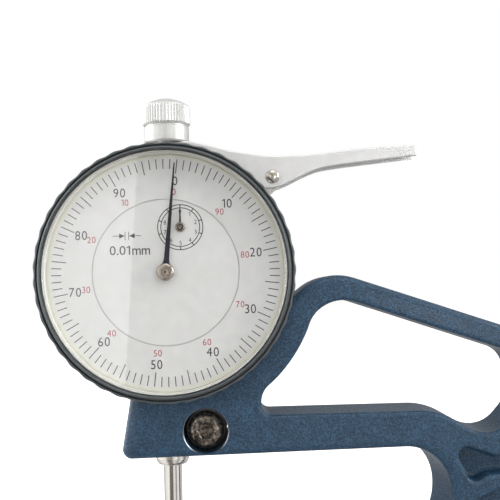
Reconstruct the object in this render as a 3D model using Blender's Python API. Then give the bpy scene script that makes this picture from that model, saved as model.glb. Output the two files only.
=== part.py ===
"""Dial thickness gauge: a cast C-frame with a thumb loop, a clamped 0.01 mm dial head and a lifting lever.

The foot stands on z = 0 and the spindle axis is the world Z axis. The dial faces -Y. Most pieces are
drawn in the dial's own plane: x to the right, y up from the dial centre, height towards the reader.
"""
import math

import bmesh
import bpy
from mathutils import Vector

MM = 0.001
WELD = MM * MM
QUARTER_TURN = 90.0
FULL_TURN = 360.0
SIDEWAYS = (0.0, math.pi / 2.0, 0.0)

# Clearances
FIT = 0.3 * MM
OVERRUN = 1.0 * MM

# Frame casting
FRAME_HALF = 7.8 * MM
FRAME_EDGE = 1.3 * MM
SADDLE_GAP = 1.6 * MM
BOSS_HEIGHT = 14.5 * MM
THROAT_FLOOR = 13.3 * MM
THROAT_GAP = 24.1 * MM
THROAT_RISE = 0.8 * MM
THROAT_DEPTH = 66.0 * MM
THROAT_TOP_ROUND = 10.5 * MM
THROAT_FLOOR_ROUND = 13.2 * MM
HEEL_DEPTH = 31.0 * MM
ARM_NOSE = 8.5 * MM
ARM_NOSE_ROUND = 3.0 * MM
TOE_ROUND = 2.0 * MM
HEEL_ROUND = 20.0 * MM
SHOULDER_ROUND = 22.0 * MM
BOSS_SIDE = 11.6 * MM
BOSS_NECK = 8.7 * MM
BOSS_CORNER = 1.5 * MM
CREST_STANDOFF = 9.7 * MM
CREST_ROUND = 13.0 * MM
BAR_SLOPE = 0.345
BAR_RISE_SHARE = 0.75
BAR_HEIGHT = 5.7 * MM
LOOP_WALL = 7.7 * MM
LOOP_CREST_LAG = 2.5 * MM
LOOP_CREST_ROUND = 9.0 * MM
REAR_WALL = 13.7 * MM
LOOP_END_ROUND = 6.0 * MM
LOOP_END_HEIGHT = 12.23 * MM
LOOP_DIP_PAST = 10.0 * MM
LOOP_DIP_LIFT = 1.0 * MM
LOOP_DIP_ROUND = 8.0 * MM
LOOP_BEND_LEAD = 3.1 * MM
LOOP_BEND_ROUND = 16.0 * MM
LOWER_BAR = 8.7 * MM
LOOP_CORNER_ROUND = 2.4 * MM
LOOP_ARC_FROM = -53.0
LOOP_ARC_TO = -17.0
WEB_HALF = 3.3 * MM
WEB_ROUND = 2.0 * MM
UPPER_WEB_SHARES = ((0.033, 1.012), (0.146, 0.764), (0.265, 0.824), (0.484, 0.832), (0.775, 0.738),
                    (0.825, 1.027), (0.581, 0.973), (0.349, 0.935))
LOWER_WEB_SHARES = ((0.193, 0.676), (0.343, 0.729), (0.531, 0.734), (0.812, 0.631), (0.765, 0.139),
                    (-0.189, 0.111), (-0.189, 0.229), (0.080, 0.314))

# Clamp that grips the stem
CLAMP_BITE = 0.5 * MM
CLAMP_BELOW_SADDLE = 9.1 * MM
CLAMP_BORE = 5.2 * MM
CLAMP_SPLIT = 0.4 * MM
CLAMP_BUSH_FRONT = 3.5 * MM
CLAMP_BUSH_BACK = 7.2 * MM
CLAMP_HEAD = 4.25 * MM
CLAMP_HEAD_DEPTH = 3.2 * MM
CLAMP_SHANK = 2.2 * MM
CLAMP_HEX = 4.0 * MM
CLAMP_HEX_DEPTH = 2.2 * MM
SCREW_CHAMFER = 0.35 * MM

# Anvil and its lock screw
ANVIL_RADIUS = 5.0 * MM
ANVIL_CHAMFER = 0.5 * MM
ANVIL_HEAD = 4.1 * MM
ANVIL_SHANK = 3.0 * MM
ANVIL_SHANK_DEPTH = 8.3 * MM
LOCK_HEIGHT = 6.4 * MM
LOCK_RADIUS = 2.0 * MM
LOCK_LENGTH = 4.2 * MM
LOCK_HEX = 2.0 * MM
LOCK_HEX_DEPTH = 1.6 * MM

# Spindle, contact and lifting knob
SPINDLE_RADIUS = 2.2 * MM
SPINDLE_CHAMFER = 0.3 * MM
CONTACT_RADIUS = 5.0 * MM
CONTACT_DEPTH = 2.8 * MM
CONTACT_NECK = 1.6 * MM
CONTACT_NECK_LENGTH = 0.9 * MM
CONTACT_STUD = 0.95 * MM
CONTACT_STUD_LENGTH = 4.4 * MM
TRAVEL = 10.0 * MM
GUIDE_PIN_RADIUS = 0.7 * MM
GUIDE_PIN_DROP = 4.0 * MM
GUIDE_PIN_ROOT = 0.2 * MM
GUIDE_PIN_REACH = 9.6 * MM
GUIDE_WALL = 1.2 * MM
GUIDE_LENGTH = 19.0 * MM
KNOB_LIFT = 2.4 * MM
KNOB_SKIRT = 5.65 * MM
KNOB_GRIP = 5.85 * MM
KNOB_RIDGE = 0.22 * MM
KNOB_RIDGE_PITCH = 0.735 * MM
KNOB_GRIP_BASE = 4.0 * MM
KNOB_GRIP_TOP = 8.3 * MM
KNOB_HEIGHT = 10.6 * MM
KNOB_CROWN = 4.9 * MM
KNOB_DIMPLE = 1.8 * MM
KNOB_DIMPLE_DEPTH = 0.5 * MM
KNOB_CAP = 2.2 * MM

# Stem and bushes
STEM_RADIUS = 4.0 * MM
STEM_SHOWN = 2.8 * MM
STEM_COLLAR_STEP = 0.9 * MM
STEM_COLLAR_DEPTH = 0.7 * MM
STEM_CHAMFER = 0.5 * MM
BUSH_WALL = 0.55 * MM
BUSH_LENGTH = 9.6 * MM
TOP_BUSH_WALL = 0.7 * MM
TOP_BUSH_RISE = 2.3 * MM
TOP_BUSH_FLANGE = 4.3 * MM
TOP_BUSH_FLANGE_DEPTH = 0.7 * MM

# Case, covers and plates of the dial head
CASE_RADIUS = 26.5 * MM
CASE_WALL = 1.6 * MM
CASE_BACK = 6.2 * MM
LIP_STEP = 1.1 * MM
LIP_BACK = 6.0 * MM
CASE_FRONT = 9.6 * MM
BACK_LEDGE = 1.5 * MM
BACK_LEDGE_DEPTH = 1.7 * MM
PLATE_LEDGE = 1.9 * MM
PLATE_LEDGE_DEPTH = 1.0 * MM
RING_WIRE = 0.25 * MM
RING_GROOVE = 0.6 * MM
RING_GAP_ANGLE = 14.0
COVER_DEPTH = 1.2 * MM
COVER_CHAMFER = 0.4 * MM
COVER_SCREW_INSET = 1.6 * MM
COVER_SCREWS = 4
COVER_SCREW_HEAD = 1.4 * MM
COVER_SCREW_RADIUS = 0.7 * MM
COVER_SCREW_LENGTH = 2.4 * MM
SCREW_HEAD_DEPTH = 0.6 * MM
SLOT_WIDTH = 0.4 * MM
SLOT_DEPTH = 0.3 * MM
REAR_PLATE = 2.8 * MM
FRONT_PLATE = 7.9 * MM
PLATE_DEPTH = 0.8 * MM
PILLAR_RADIUS = 1.6 * MM
PILLAR_INSET = 2.9 * MM
PILLAR_ANGLES = (20.0, 150.0, 285.0)
PLATE_SCREW_HEAD = 1.3 * MM
PLATE_SCREW_RADIUS = 0.6 * MM
PLATE_SCREW_LENGTH = 2.6 * MM

# Gear train: rack, 16-tooth pinion, 100-tooth wheels and the 10-tooth centre pinion
RACK_TEETH_PER_TURN = 16
WHEEL_TEETH = 100
CENTRE_TEETH = 10
TOOTH_PITCH = TRAVEL / RACK_TEETH_PER_TURN
TRAIN_MARGIN = 4.0 * MM
TOOTH_ADDENDUM = 0.12 * MM
TOOTH_DEDENDUM = 0.25 * MM
TOOTH_TIP_SHARE = 0.20
TOOTH_ROOT_SHARE = 0.58
RACK_PITCH_LINE = 1.95 * MM
RACK_MARGIN = 2.0 * MM
ARBOR_RADIUS = 0.5 * MM
ARBOR_TAIL = 0.5 * MM
RACK_PINION_HALF = 1.6 * MM
WHEEL_LEVEL = 4.6 * MM
WHEEL_DEPTH = 0.6 * MM
CENTRE_PINION_HALF = 0.7 * MM
BRIDGE_DEPTH = 0.8 * MM
BRIDGE_HALF = 3.0 * MM
BRIDGE_FOOT = 3.5 * MM
BRIDGE_REACH = 13.0 * MM
BRIDGE_NOSE = 1.6 * MM

# Springs
HAIRSPRING_LEVEL = 6.1 * MM
HAIRSPRING_DEPTH = 0.4 * MM
HAIRSPRING_BAND = 0.12 * MM
HAIRSPRING_TURNS = 4
HAIRSPRING_PITCH = 0.95 * MM
STUD_RADIUS = 0.5 * MM
SPRING_X = 4.9 * MM
SPRING_COIL = 1.4 * MM
SPRING_WIRE = 0.2 * MM
SPRING_TURNS = 10
SPRING_END_INSET = 4.9 * MM
SPRING_POST = 0.7 * MM
SPRING_POST_LENGTH = 4.0 * MM

# Dial, hands, crystal and bezel
DIAL_DEPTH = 0.4 * MM
SCALE_WIDTH = 10.9 * MM
DIAL_FOOT = 0.7 * MM
DIAL_FOOT_INSET = 2.9 * MM
SCALE_INSET = 0.45 * MM
SCALE_TURN = 6.7
RETAINER_WALL = 0.55 * MM
RETAINER_DEPTH = 1.9 * MM
CRYSTAL_DEPTH = 1.1 * MM
CRYSTAL_EDGE = 0.25 * MM
BEZEL_PLAY = 0.65 * MM
BEZEL_WALL = 1.75 * MM
BEZEL_RUN = 0.5 * MM
BEZEL_DEPTH = 6.7 * MM
BEZEL_BAND_DROP = 1.2 * MM
BEZEL_FACE = 0.65 * MM
BEZEL_STEP = 0.45 * MM
BEZEL_EDGE = 0.35 * MM
BEZEL_SCALLOP_PITCH = 4.19 * MM
BEZEL_SCALLOP_DEPTH = 0.28 * MM
HAND_HUB = 2.0 * MM
HAND_HUB_FLANGE = 1.7 * MM
HAND_HUB_NECK = 1.2 * MM
HAND_HUB_CHAMFER = 0.3 * MM
HAND_HUB_FLANGE_DEPTH = 0.4 * MM
HAND_HUB_CAP_DEPTH = 0.5 * MM
HAND_TIP_INSET = 2.4 * MM
HAND_EYE = 2.0 * MM
HAND_DEPTH = 0.3 * MM
HAND_WAIST = 0.42 * MM
HAND_TIP = 0.13 * MM
HAND_TURN = 6.2
COUNTER_HUB = 1.15 * MM
COUNTER_HUB_DEPTH = 0.5 * MM
COUNTER_LENGTH = 4.5 * MM
COUNTER_WAIST = 0.25 * MM
COUNTER_TIP = 0.1 * MM
COUNTER_BLADE = 0.2 * MM
COUNTER_SIDE = 3.54 * MM

# Lifting lever and its bracket. The head lies over the case: its shares are of the angle from the pivot to
# the spindle, and of the lever's rise over the arc below it. The arm's shares start at the pivot
LEVER_HALF = 3.5 * MM
LEVER_SHEET = 1.0 * MM
PIVOT_ANGLE = 41.58
PIVOT_STANDOFF = 7.856 * MM
PIVOT_RADIUS = 1.0 * MM
PIVOT_HEAD = 1.65 * MM
PIVOT_HEAD_DEPTH = 0.8 * MM
DOME_RADIUS_SHARE = 0.6
DOME_DEPTH_SHARE = 0.8
LEVER_ARM = 35.3 * MM
LEVER_RISE = 9.2 * MM
LEVER_WEB_START = 8.0 * MM
LEVER_CASE_GAP = 3.2 * MM
LEVER_ARC_LEAD = 1.0
LEVER_FORK = 3.0 * MM
LEVER_FORK_DEPTH = 1.46 * MM
LEVER_HEAD_SHARES = ((1.0, 0.191), (0.821, 0.290), (0.717, 0.272), (0.606, 0.258), (0.484, 0.272),
                     (0.380, 0.351), (0.221, 0.585), (0.126, 0.811))
LEVER_TOP_SHARES = ((0.074, 0.499), (0.221, 0.520), (0.366, 0.576), (0.513, 0.645), (0.660, 0.694),
                    (0.808, 0.729), (1.0, 0.760))
LEVER_LOW_SHARES = ((1.0, 0.489), (0.805, 0.412), (0.610, 0.336), (0.414, 0.249), (0.314, 0.176),
                    (0.219, 0.033), (0.119, -0.151), (0.051, -0.259), (-0.018, -0.311), (-0.063, -0.294))
BRACKET_FOOT = 1.6 * MM
BRACKET_FOOT_HALF = 4.4 * MM
BRACKET_FOOT_SPAN = 13.0
BRACKET_LUG = 2.6 * MM
BRACKET_LUG_HALF = 2.2 * MM
BRACKET_SCREW_SPAN = 9.0
BRACKET_SCREW_HEAD = 1.2 * MM
BRACKET_SCREW_RADIUS = 0.6 * MM
BRACKET_SCREW_HEAD_DEPTH = 0.7 * MM

# Facets
FINE_STEPS = 48
RING_STEPS = 40
ROUND_STEPS = 24
SHAFT_STEPS = 20
HUB_STEPS = 16
SMALL_STEPS = 14
PIN_STEPS = 12
SCREW_STEPS = 10
COIL_STEPS = 8
ARC_STEP = 15.0
EDGE_SEGMENTS = 2
EDGE_ANGLE = 40.0
SMOOTH_ANGLE = 32.0

# Places worked out from the sizes above
SADDLE_RADIUS = CASE_RADIUS + SADDLE_GAP
THROAT_Y = -SADDLE_RADIUS - BOSS_HEIGHT
FLOOR_Y = THROAT_Y - THROAT_GAP
FOOT = FLOOR_Y - THROAT_FLOOR
DIAL_CENTRE = -FOOT
FRAME_REACH = THROAT_DEPTH + HEEL_DEPTH
CREST_X = SADDLE_RADIUS + CREST_STANDOFF
CASE_BORE = CASE_RADIUS - CASE_WALL
LIP_RADIUS = CASE_RADIUS + LIP_STEP
BEZEL_BORE = LIP_RADIUS + BEZEL_PLAY
BEZEL_RADIUS = BEZEL_BORE + BEZEL_WALL
SCALE_RADIUS = BEZEL_BORE - SCALE_INSET
DIAL_PLATE_RADIUS = SCALE_RADIUS - SCALE_WIDTH
HAND_LENGTH = SCALE_RADIUS - HAND_TIP_INSET
DIAL_FOOT_CIRCLE = DIAL_PLATE_RADIUS - DIAL_FOOT_INSET
COVER_SCREW_CIRCLE = CASE_RADIUS - COVER_SCREW_INSET
PILLAR_CIRCLE = CASE_BORE - PILLAR_INSET
SPRING_LOW = CASE_BORE - SPRING_END_INSET
STEM_TOP = CASE_BORE
STEM_END = STEM_SHOWN - THROAT_Y
STEM_COLLAR = STEM_RADIUS + STEM_COLLAR_STEP
TOP_BUSH_HIGH = CASE_RADIUS + TOP_BUSH_RISE
KNOB_BASE = BEZEL_RADIUS + KNOB_LIFT
KNOB_RIDGES = round(math.tau * KNOB_GRIP / KNOB_RIDGE_PITCH)
BEZEL_SCALLOPS = round(math.tau * BEZEL_RADIUS / BEZEL_SCALLOP_PITCH)
CLAMP_BUSH = CLAMP_BORE - FIT
CLAMP_X = STEM_RADIUS + CLAMP_BUSH - CLAMP_BITE
CLAMP_DROP = SADDLE_RADIUS + CLAMP_BELOW_SADDLE
PIVOT_CIRCLE = CASE_RADIUS + PIVOT_STANDOFF
PIVOT_X = PIVOT_CIRCLE * math.cos(math.radians(PIVOT_ANGLE))
PIVOT_Y = PIVOT_CIRCLE * math.sin(math.radians(PIVOT_ANGLE))
LEVER_ARC = CASE_RADIUS + LEVER_CASE_GAP
LEVER_REACH = PIVOT_X + LEVER_ARM
ANVIL_TOP = FLOOR_Y + FIT + ANVIL_HEAD
CONTACT_LOW = ANVIL_TOP + FIT
CONTACT_HIGH = CONTACT_LOW + CONTACT_DEPTH
SPINDLE_END = CONTACT_HIGH + CONTACT_NECK_LENGTH + FIT
SPINDLE_TOP = KNOB_BASE + KNOB_HEIGHT - KNOB_CAP - FIT
SPINDLE_BORE = SPINDLE_RADIUS + FIT
DIAL_LEVEL = CASE_FRONT + FIT
DIAL_TOP = DIAL_LEVEL + DIAL_DEPTH
RETAINER_TOP = DIAL_TOP + FIT + RETAINER_DEPTH
CRYSTAL_LEVEL = RETAINER_TOP + FIT
BEZEL_BACK = FRAME_HALF + BEZEL_RUN
BEZEL_TOP = BEZEL_BACK + BEZEL_DEPTH
RACK_PINION_PITCH = RACK_TEETH_PER_TURN * TOOTH_PITCH / math.tau
TRAIN_MODULE = (CASE_BORE - TRAIN_MARGIN) / (WHEEL_TEETH + CENTRE_TEETH / 2.0)
WHEEL_PITCH = WHEEL_TEETH * TRAIN_MODULE / 2.0
CENTRE_PITCH = CENTRE_TEETH * TRAIN_MODULE / 2.0
DRIVE_X = -(RACK_PITCH_LINE + RACK_PINION_PITCH)
DRIVE_Y = -math.sqrt((WHEEL_PITCH + CENTRE_PITCH) ** 2 - DRIVE_X ** 2)
COUNTER_X = COUNTER_SIDE
COUNTER_Y = math.sqrt((WHEEL_PITCH + CENTRE_PITCH) ** 2 - COUNTER_SIDE ** 2)
ARBOR_HOLE = ARBOR_RADIUS + FIT
REAR_PLATE_TOP = REAR_PLATE + PLATE_DEPTH
FRONT_PLATE_TOP = FRONT_PLATE + PLATE_DEPTH

# Finishes: colour, metallic, roughness
BLUE_PAINT = ((0.045, 0.085, 0.15), 0.2, 0.55)
BLACK_PLASTIC = ((0.025, 0.027, 0.03), 0.0, 0.45)
BLACK_OXIDE = ((0.03, 0.03, 0.03), 0.7, 0.4)
STEEL = ((0.62, 0.62, 0.6), 1.0, 0.25)
GROUND_STEEL = ((0.7, 0.68, 0.65), 1.0, 0.18)
CARBIDE = ((0.4, 0.4, 0.42), 1.0, 0.3)
ALUMINIUM = ((0.78, 0.78, 0.76), 1.0, 0.4)
BRASS = ((0.72, 0.55, 0.25), 1.0, 0.3)
SPRING_STEEL = ((0.35, 0.38, 0.45), 1.0, 0.3)
DIAL_WHITE = ((0.8, 0.8, 0.79), 0.0, 0.5)
HAND_BLUE = ((0.01, 0.012, 0.03), 0.3, 0.4)
CLEAR = ((0.95, 0.95, 0.93), 0.0, 0.05)
CHROME = ((0.85, 0.85, 0.83), 1.0, 0.12)


def clear_scene():
    for obj in list(bpy.data.objects):
        bpy.data.objects.remove(obj, do_unlink=True)


def empty(name, location, rotation=(0.0, 0.0, 0.0), parent=None):
    obj = bpy.data.objects.new(name, None)
    bpy.context.collection.objects.link(obj)
    obj.location = location
    obj.rotation_euler = rotation
    obj.parent = parent
    return obj


def finish(obj, look):
    colour, metallic, roughness = look
    material = bpy.data.materials.new(obj.name)
    material.use_nodes = True
    shader = material.node_tree.nodes["Principled BSDF"]
    shader.inputs["Base Color"].default_value = (*colour, 1.0)
    shader.inputs["Metallic"].default_value = metallic
    shader.inputs["Roughness"].default_value = roughness
    obj.data.materials.append(material)


def solid(name, bm, parent, place=(0.0, 0.0, 0.0), look=None, turn=(0.0, 0.0, 0.0)):
    """Turn a bmesh into a named object; without a look it is a cutter."""
    bmesh.ops.recalc_face_normals(bm, faces=bm.faces)
    mesh = bpy.data.meshes.new(name)
    bm.to_mesh(mesh)
    bm.free()
    mesh.shade_smooth()
    mesh.set_sharp_from_angle(angle=math.radians(SMOOTH_ANGLE))
    obj = bpy.data.objects.new(name, mesh)
    bpy.context.collection.objects.link(obj)
    obj.parent = parent
    obj.location = place
    obj.rotation_euler = turn
    if look is None:
        obj.hide_render = True
        obj.display_type = "WIRE"
    else:
        finish(obj, look)
    return obj


def turned(profile, steps=ROUND_STEPS):
    """Revolve (radius, height) points about Z; a profile that leaves the axis open is a closed ring."""
    bm = bmesh.new()
    verts = [bm.verts.new((radius, 0.0, height)) for radius, height in profile]
    edges = [bm.edges.new(pair) for pair in zip(verts, verts[1:])]
    if profile[0][0] > 0.0:
        edges.append(bm.edges.new((verts[-1], verts[0])))
    bmesh.ops.spin(bm, geom=verts + edges, cent=(0.0, 0.0, 0.0), axis=(0.0, 0.0, 1.0),
                   angle=math.tau, steps=steps, use_merge=True)
    bmesh.ops.remove_doubles(bm, verts=bm.verts, dist=WELD)
    return bm


def rod(radius, low, high, steps=SMALL_STEPS):
    return turned(((0.0, low), (radius, low), (radius, high), (0.0, high)), steps)


def prism(outline, low, high):
    """Extrude an (x, y) outline between two heights."""
    bm = bmesh.new()
    face = bm.faces.new([bm.verts.new((x, y, low)) for x, y in outline])
    grown = bmesh.ops.extrude_face_region(bm, geom=[face])
    top = [item for item in grown["geom"] if isinstance(item, bmesh.types.BMVert)]
    bmesh.ops.translate(bm, verts=top, vec=(0.0, 0.0, high - low))
    return bm


def polar(radius, degrees, centre=(0.0, 0.0)):
    angle = math.radians(degrees)
    return (centre[0] + radius * math.cos(angle), centre[1] + radius * math.sin(angle))


def arc(radius, start, end, centre=(0.0, 0.0)):
    count = max(2, math.ceil(abs(end - start) / ARC_STEP))
    return [polar(radius, start + (end - start) * step / count, centre) for step in range(count + 1)]


def rounded(corners):
    """Outline from (x, y, radius) corners, each rounded by an arc tangent to both of its sides."""
    outline = []
    for index, (x, y, radius) in enumerate(corners):
        corner = Vector((x, y))
        if radius <= 0.0:
            outline.append((x, y))
            continue
        before = (Vector(corners[index - 1][:2]) - corner).normalized()
        after = (Vector(corners[(index + 1) % len(corners)][:2]) - corner).normalized()
        half = before.angle(after) / 2.0
        middle = corner + (before + after).normalized() * (radius / math.sin(half))
        start = corner + before * (radius / math.tan(half)) - middle
        sweep = start.angle_signed(corner + after * (radius / math.tan(half)) - middle)
        count = max(2, math.ceil(abs(math.degrees(sweep)) / ARC_STEP))
        base = math.atan2(start.y, start.x)
        for step in range(count + 1):
            angle = base - sweep * step / count
            outline.append((middle.x + radius * math.cos(angle), middle.y + radius * math.sin(angle)))
    return outline


def cut(target, cutter):
    modifier = target.modifiers.new(cutter.name, "BOOLEAN")
    modifier.operation = "DIFFERENCE"
    modifier.solver = "EXACT"
    modifier.object = cutter


def drill(target, name, radius, low, high, place=(0.0, 0.0), steps=SMALL_STEPS):
    """Drill a hole along the dial's axis, from one height to another."""
    cut(target, solid(name, rod(radius, low, high, steps), dial_axis, (*place, 0.0)))


def bevel(obj, width):
    modifier = obj.modifiers.new("edges", "BEVEL")
    modifier.width = width
    modifier.segments = EDGE_SEGMENTS
    modifier.limit_method = "ANGLE"
    modifier.angle_limit = math.radians(EDGE_ANGLE)
    modifier.harden_normals = False


def pinion_tooth(pitch_radius):
    """Straight-flanked tooth: radii, and offsets in half pitches from the tooth's centre."""
    tip = pitch_radius + TOOTH_ADDENDUM
    root = pitch_radius - TOOTH_DEDENDUM
    return ((root, -TOOTH_ROOT_SHARE), (tip, -TOOTH_TIP_SHARE),
            (tip, TOOTH_TIP_SHARE), (root, TOOTH_ROOT_SHARE))


def wheel_tooth(pitch_radius):
    """Pointed tooth of the fine-pitched wheels."""
    return ((pitch_radius + TOOTH_ADDENDUM, 0.0), (pitch_radius - TOOTH_DEDENDUM, 1.0))


def gear_outline(teeth, tooth_points, phase):
    """Repeat one tooth round the gear; the first tooth's centre lies at the phase angle, in radians."""
    outline = []
    step = math.tau / teeth
    for tooth in range(teeth):
        middle = phase + tooth * step
        for radius, offset in tooth_points:
            angle = middle + offset * step / 2.0
            outline.append((radius * math.cos(angle), radius * math.sin(angle)))
    return outline


def add_arbor(name, pinion, low, high, place, look):
    """A pinion and its arbor in one piece: the arbor is joined to the toothed prism by a union."""
    body = solid(name, pinion, dial_axis, place, look)
    shaft = solid(name + "_shaft", rod(ARBOR_RADIUS, low, high), dial_axis, place)
    modifier = body.modifiers.new("arbor", "BOOLEAN")
    modifier.operation = "UNION"
    modifier.solver = "EXACT"
    modifier.object = shaft
    return body


def frame_outline():
    """Outer edge of the casting, from the boss round the loop, the heel and the throat."""
    crest_left = SADDLE_RADIUS * BAR_RISE_SHARE
    return rounded((
        (-BOSS_SIDE, THROAT_Y - THROAT_RISE / 2.0, BOSS_CORNER),
        (-BOSS_NECK, -SADDLE_RADIUS + SADDLE_GAP, 0.0),
        (0.0, -SADDLE_RADIUS / 2.0, 0.0),
        (crest_left, (crest_left - CREST_X) * BAR_RISE_SHARE, 0.0),
        (CREST_X, 0.0, CREST_ROUND),
        (FRAME_REACH, (CREST_X - FRAME_REACH) * BAR_SLOPE, SHOULDER_ROUND),
        (FRAME_REACH, FOOT, HEEL_ROUND),
        (-ARM_NOSE, FOOT, TOE_ROUND),
        (-ARM_NOSE, FLOOR_Y, ARM_NOSE_ROUND),
        (THROAT_DEPTH, FLOOR_Y, THROAT_FLOOR_ROUND),
        (THROAT_DEPTH, THROAT_Y + THROAT_RISE, THROAT_TOP_ROUND)))


def loop_outline():
    """Thumb loop: concentric with the dial on its left, parallel to the sloping bar on top."""
    loop_radius = SADDLE_RADIUS + LOOP_WALL
    loop_right = FRAME_REACH - REAR_WALL
    end_high = (CREST_X - loop_right) * BAR_SLOPE - BAR_HEIGHT
    lower = THROAT_Y + LOWER_BAR
    left = [(x, y, 0.0) for x, y in arc(loop_radius, LOOP_ARC_FROM, LOOP_ARC_TO)]
    return rounded(left + [
        (CREST_X + LOOP_CREST_LAG, -LOOP_CREST_LAG * BAR_SLOPE - BAR_HEIGHT, LOOP_CREST_ROUND),
        (loop_right, end_high, LOOP_END_ROUND),
        (loop_right, end_high - LOOP_END_HEIGHT, LOOP_END_ROUND),
        (THROAT_DEPTH + LOOP_DIP_PAST, THROAT_Y + LOOP_DIP_LIFT, LOOP_DIP_ROUND),
        (THROAT_DEPTH - LOOP_BEND_LEAD, lower, LOOP_BEND_ROUND),
        (left[0][0], lower, LOOP_CORNER_ROUND)])


def web_outline(shares):
    """Pocket beside the throat's end, in shares of the heel's depth and of the throat top's height."""
    height = THROAT_FLOOR + THROAT_GAP
    return rounded([(THROAT_DEPTH + x * HEEL_DEPTH, FOOT + y * height, WEB_ROUND) for x, y in shares])


def make_frame():
    reach = FRAME_HALF + OVERRUN
    frame = prism(frame_outline(), -FRAME_HALF, FRAME_HALF)
    frame = solid("frame_casting", frame, dial_axis, look=BLUE_PAINT)
    saddle = rod(SADDLE_RADIUS, -reach, reach, FINE_STEPS)
    cut(frame, solid("saddle_cut", saddle, dial_axis))
    cut(frame, solid("loop_cut", prism(loop_outline(), -reach, reach), dial_axis))
    bevel(frame, FRAME_EDGE)
    for side, shares in (("upper", UPPER_WEB_SHARES), ("lower", LOWER_WEB_SHARES)):
        for face, low, high in (("front", WEB_HALF, reach), ("back", -reach, -WEB_HALF)):
            pocket = prism(web_outline(shares), low, high)
            cut(frame, solid(side + "_web_" + face, pocket, dial_axis))
    stem_low = THROAT_Y - OVERRUN
    cut(frame, solid("stem_bore", rod(STEM_RADIUS + FIT, stem_low, -SADDLE_RADIUS + OVERRUN, ROUND_STEPS),
                     spindle_axis))
    drill(frame, "clamp_bore", CLAMP_BORE, -reach, reach, (CLAMP_X, -CLAMP_DROP), ROUND_STEPS)
    anvil_low = FLOOR_Y - ANVIL_SHANK_DEPTH - FIT
    cut(frame, solid("anvil_bore", rod(ANVIL_SHANK + FIT, anvil_low, FLOOR_Y + OVERRUN, ROUND_STEPS),
                     spindle_axis))
    lock = rod(LOCK_RADIUS + FIT, -ARM_NOSE - OVERRUN, -ANVIL_SHANK)
    cut(frame, solid("lock_bore", lock, dial_axis, (0.0, FOOT + LOCK_HEIGHT, 0.0), turn=SIDEWAYS))
    return frame


def socket_hex(name, target, width, low, high, parent, place, turn=(0.0, 0.0, 0.0)):
    """Hexagon socket: the width is across the flats."""
    bm = rod(width / math.sqrt(3.0), low, high, 6)
    cut(target, solid(name, bm, parent, place, turn=turn))


def make_clamp():
    place = (CLAMP_X, -CLAMP_DROP, 0.0)
    bore = CLAMP_SHANK + FIT
    for name, low, high in (("clamp_bush_front", CLAMP_SPLIT, CLAMP_BUSH_FRONT),
                            ("clamp_bush_rear", -CLAMP_BUSH_BACK, -CLAMP_SPLIT)):
        profile = ((bore, low), (CLAMP_BUSH, low), (CLAMP_BUSH, high), (bore, high))
        bush = solid(name, turned(profile), dial_axis, place, STEEL)
        stem_seat = rod(STEM_RADIUS + FIT, -CLAMP_DROP - CLAMP_BORE, -CLAMP_DROP + CLAMP_BORE, ROUND_STEPS)
        cut(bush, solid(name + "_seat", stem_seat, spindle_axis))
    head_low = CLAMP_BUSH_FRONT + FIT
    head_high = head_low + CLAMP_HEAD_DEPTH
    profile = ((0.0, -CLAMP_BUSH_BACK), (CLAMP_SHANK, -CLAMP_BUSH_BACK), (CLAMP_SHANK, head_low),
               (CLAMP_HEAD, head_low), (CLAMP_HEAD, head_high - SCREW_CHAMFER),
               (CLAMP_HEAD - SCREW_CHAMFER, head_high), (0.0, head_high))
    screw = solid("clamp_screw", turned(profile), dial_axis, place, BLACK_OXIDE)
    hex_low = head_high - CLAMP_HEX_DEPTH
    socket_hex("clamp_hex", screw, CLAMP_HEX, hex_low, head_high + OVERRUN, dial_axis, place)


def make_anvil():
    shank_low = FLOOR_Y - ANVIL_SHANK_DEPTH
    head_low = FLOOR_Y + FIT
    profile = ((0.0, shank_low), (ANVIL_SHANK - SCREW_CHAMFER, shank_low),
               (ANVIL_SHANK, shank_low + SCREW_CHAMFER), (ANVIL_SHANK, head_low), (ANVIL_RADIUS, head_low),
               (ANVIL_RADIUS, ANVIL_TOP - ANVIL_CHAMFER), (ANVIL_RADIUS - ANVIL_CHAMFER, ANVIL_TOP),
               (0.0, ANVIL_TOP))
    solid("anvil", turned(profile), spindle_axis, look=GROUND_STEEL)
    place = (0.0, FOOT + LOCK_HEIGHT, 0.0)
    inner = -ANVIL_SHANK - FIT
    outer = inner - LOCK_LENGTH
    screw = solid("anvil_lock_screw", rod(LOCK_RADIUS, outer, inner), dial_axis, place, BLACK_OXIDE, SIDEWAYS)
    hex_high = outer + LOCK_HEX_DEPTH
    socket_hex("lock_hex", screw, LOCK_HEX, outer - OVERRUN, hex_high, dial_axis, place, SIDEWAYS)


def make_spindle():
    profile = ((0.0, SPINDLE_END), (SPINDLE_RADIUS - SPINDLE_CHAMFER, SPINDLE_END),
               (SPINDLE_RADIUS, SPINDLE_END + SPINDLE_CHAMFER),
               (SPINDLE_RADIUS, SPINDLE_TOP - SPINDLE_CHAMFER),
               (SPINDLE_RADIUS - SPINDLE_CHAMFER, SPINDLE_TOP), (0.0, SPINDLE_TOP))
    spindle = solid("spindle", turned(profile, SHAFT_STEPS), spindle_axis, look=GROUND_STEEL)
    stud_bore = rod(CONTACT_STUD + FIT, SPINDLE_END - OVERRUN, SPINDLE_END + CONTACT_STUD_LENGTH)
    cut(spindle, solid("stud_bore", stud_bore, spindle_axis))
    pin_bore = rod(GUIDE_PIN_RADIUS + FIT, GUIDE_PIN_ROOT - FIT, SPINDLE_RADIUS + OVERRUN)
    cut(spindle, solid("pin_bore", pin_bore, dial_axis, (0.0, -GUIDE_PIN_DROP, 0.0), turn=SIDEWAYS))
    across = SPINDLE_RADIUS + OVERRUN
    cut(spindle, solid("rack_cut", prism(rack_outline(), -across, across), dial_axis))


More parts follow.
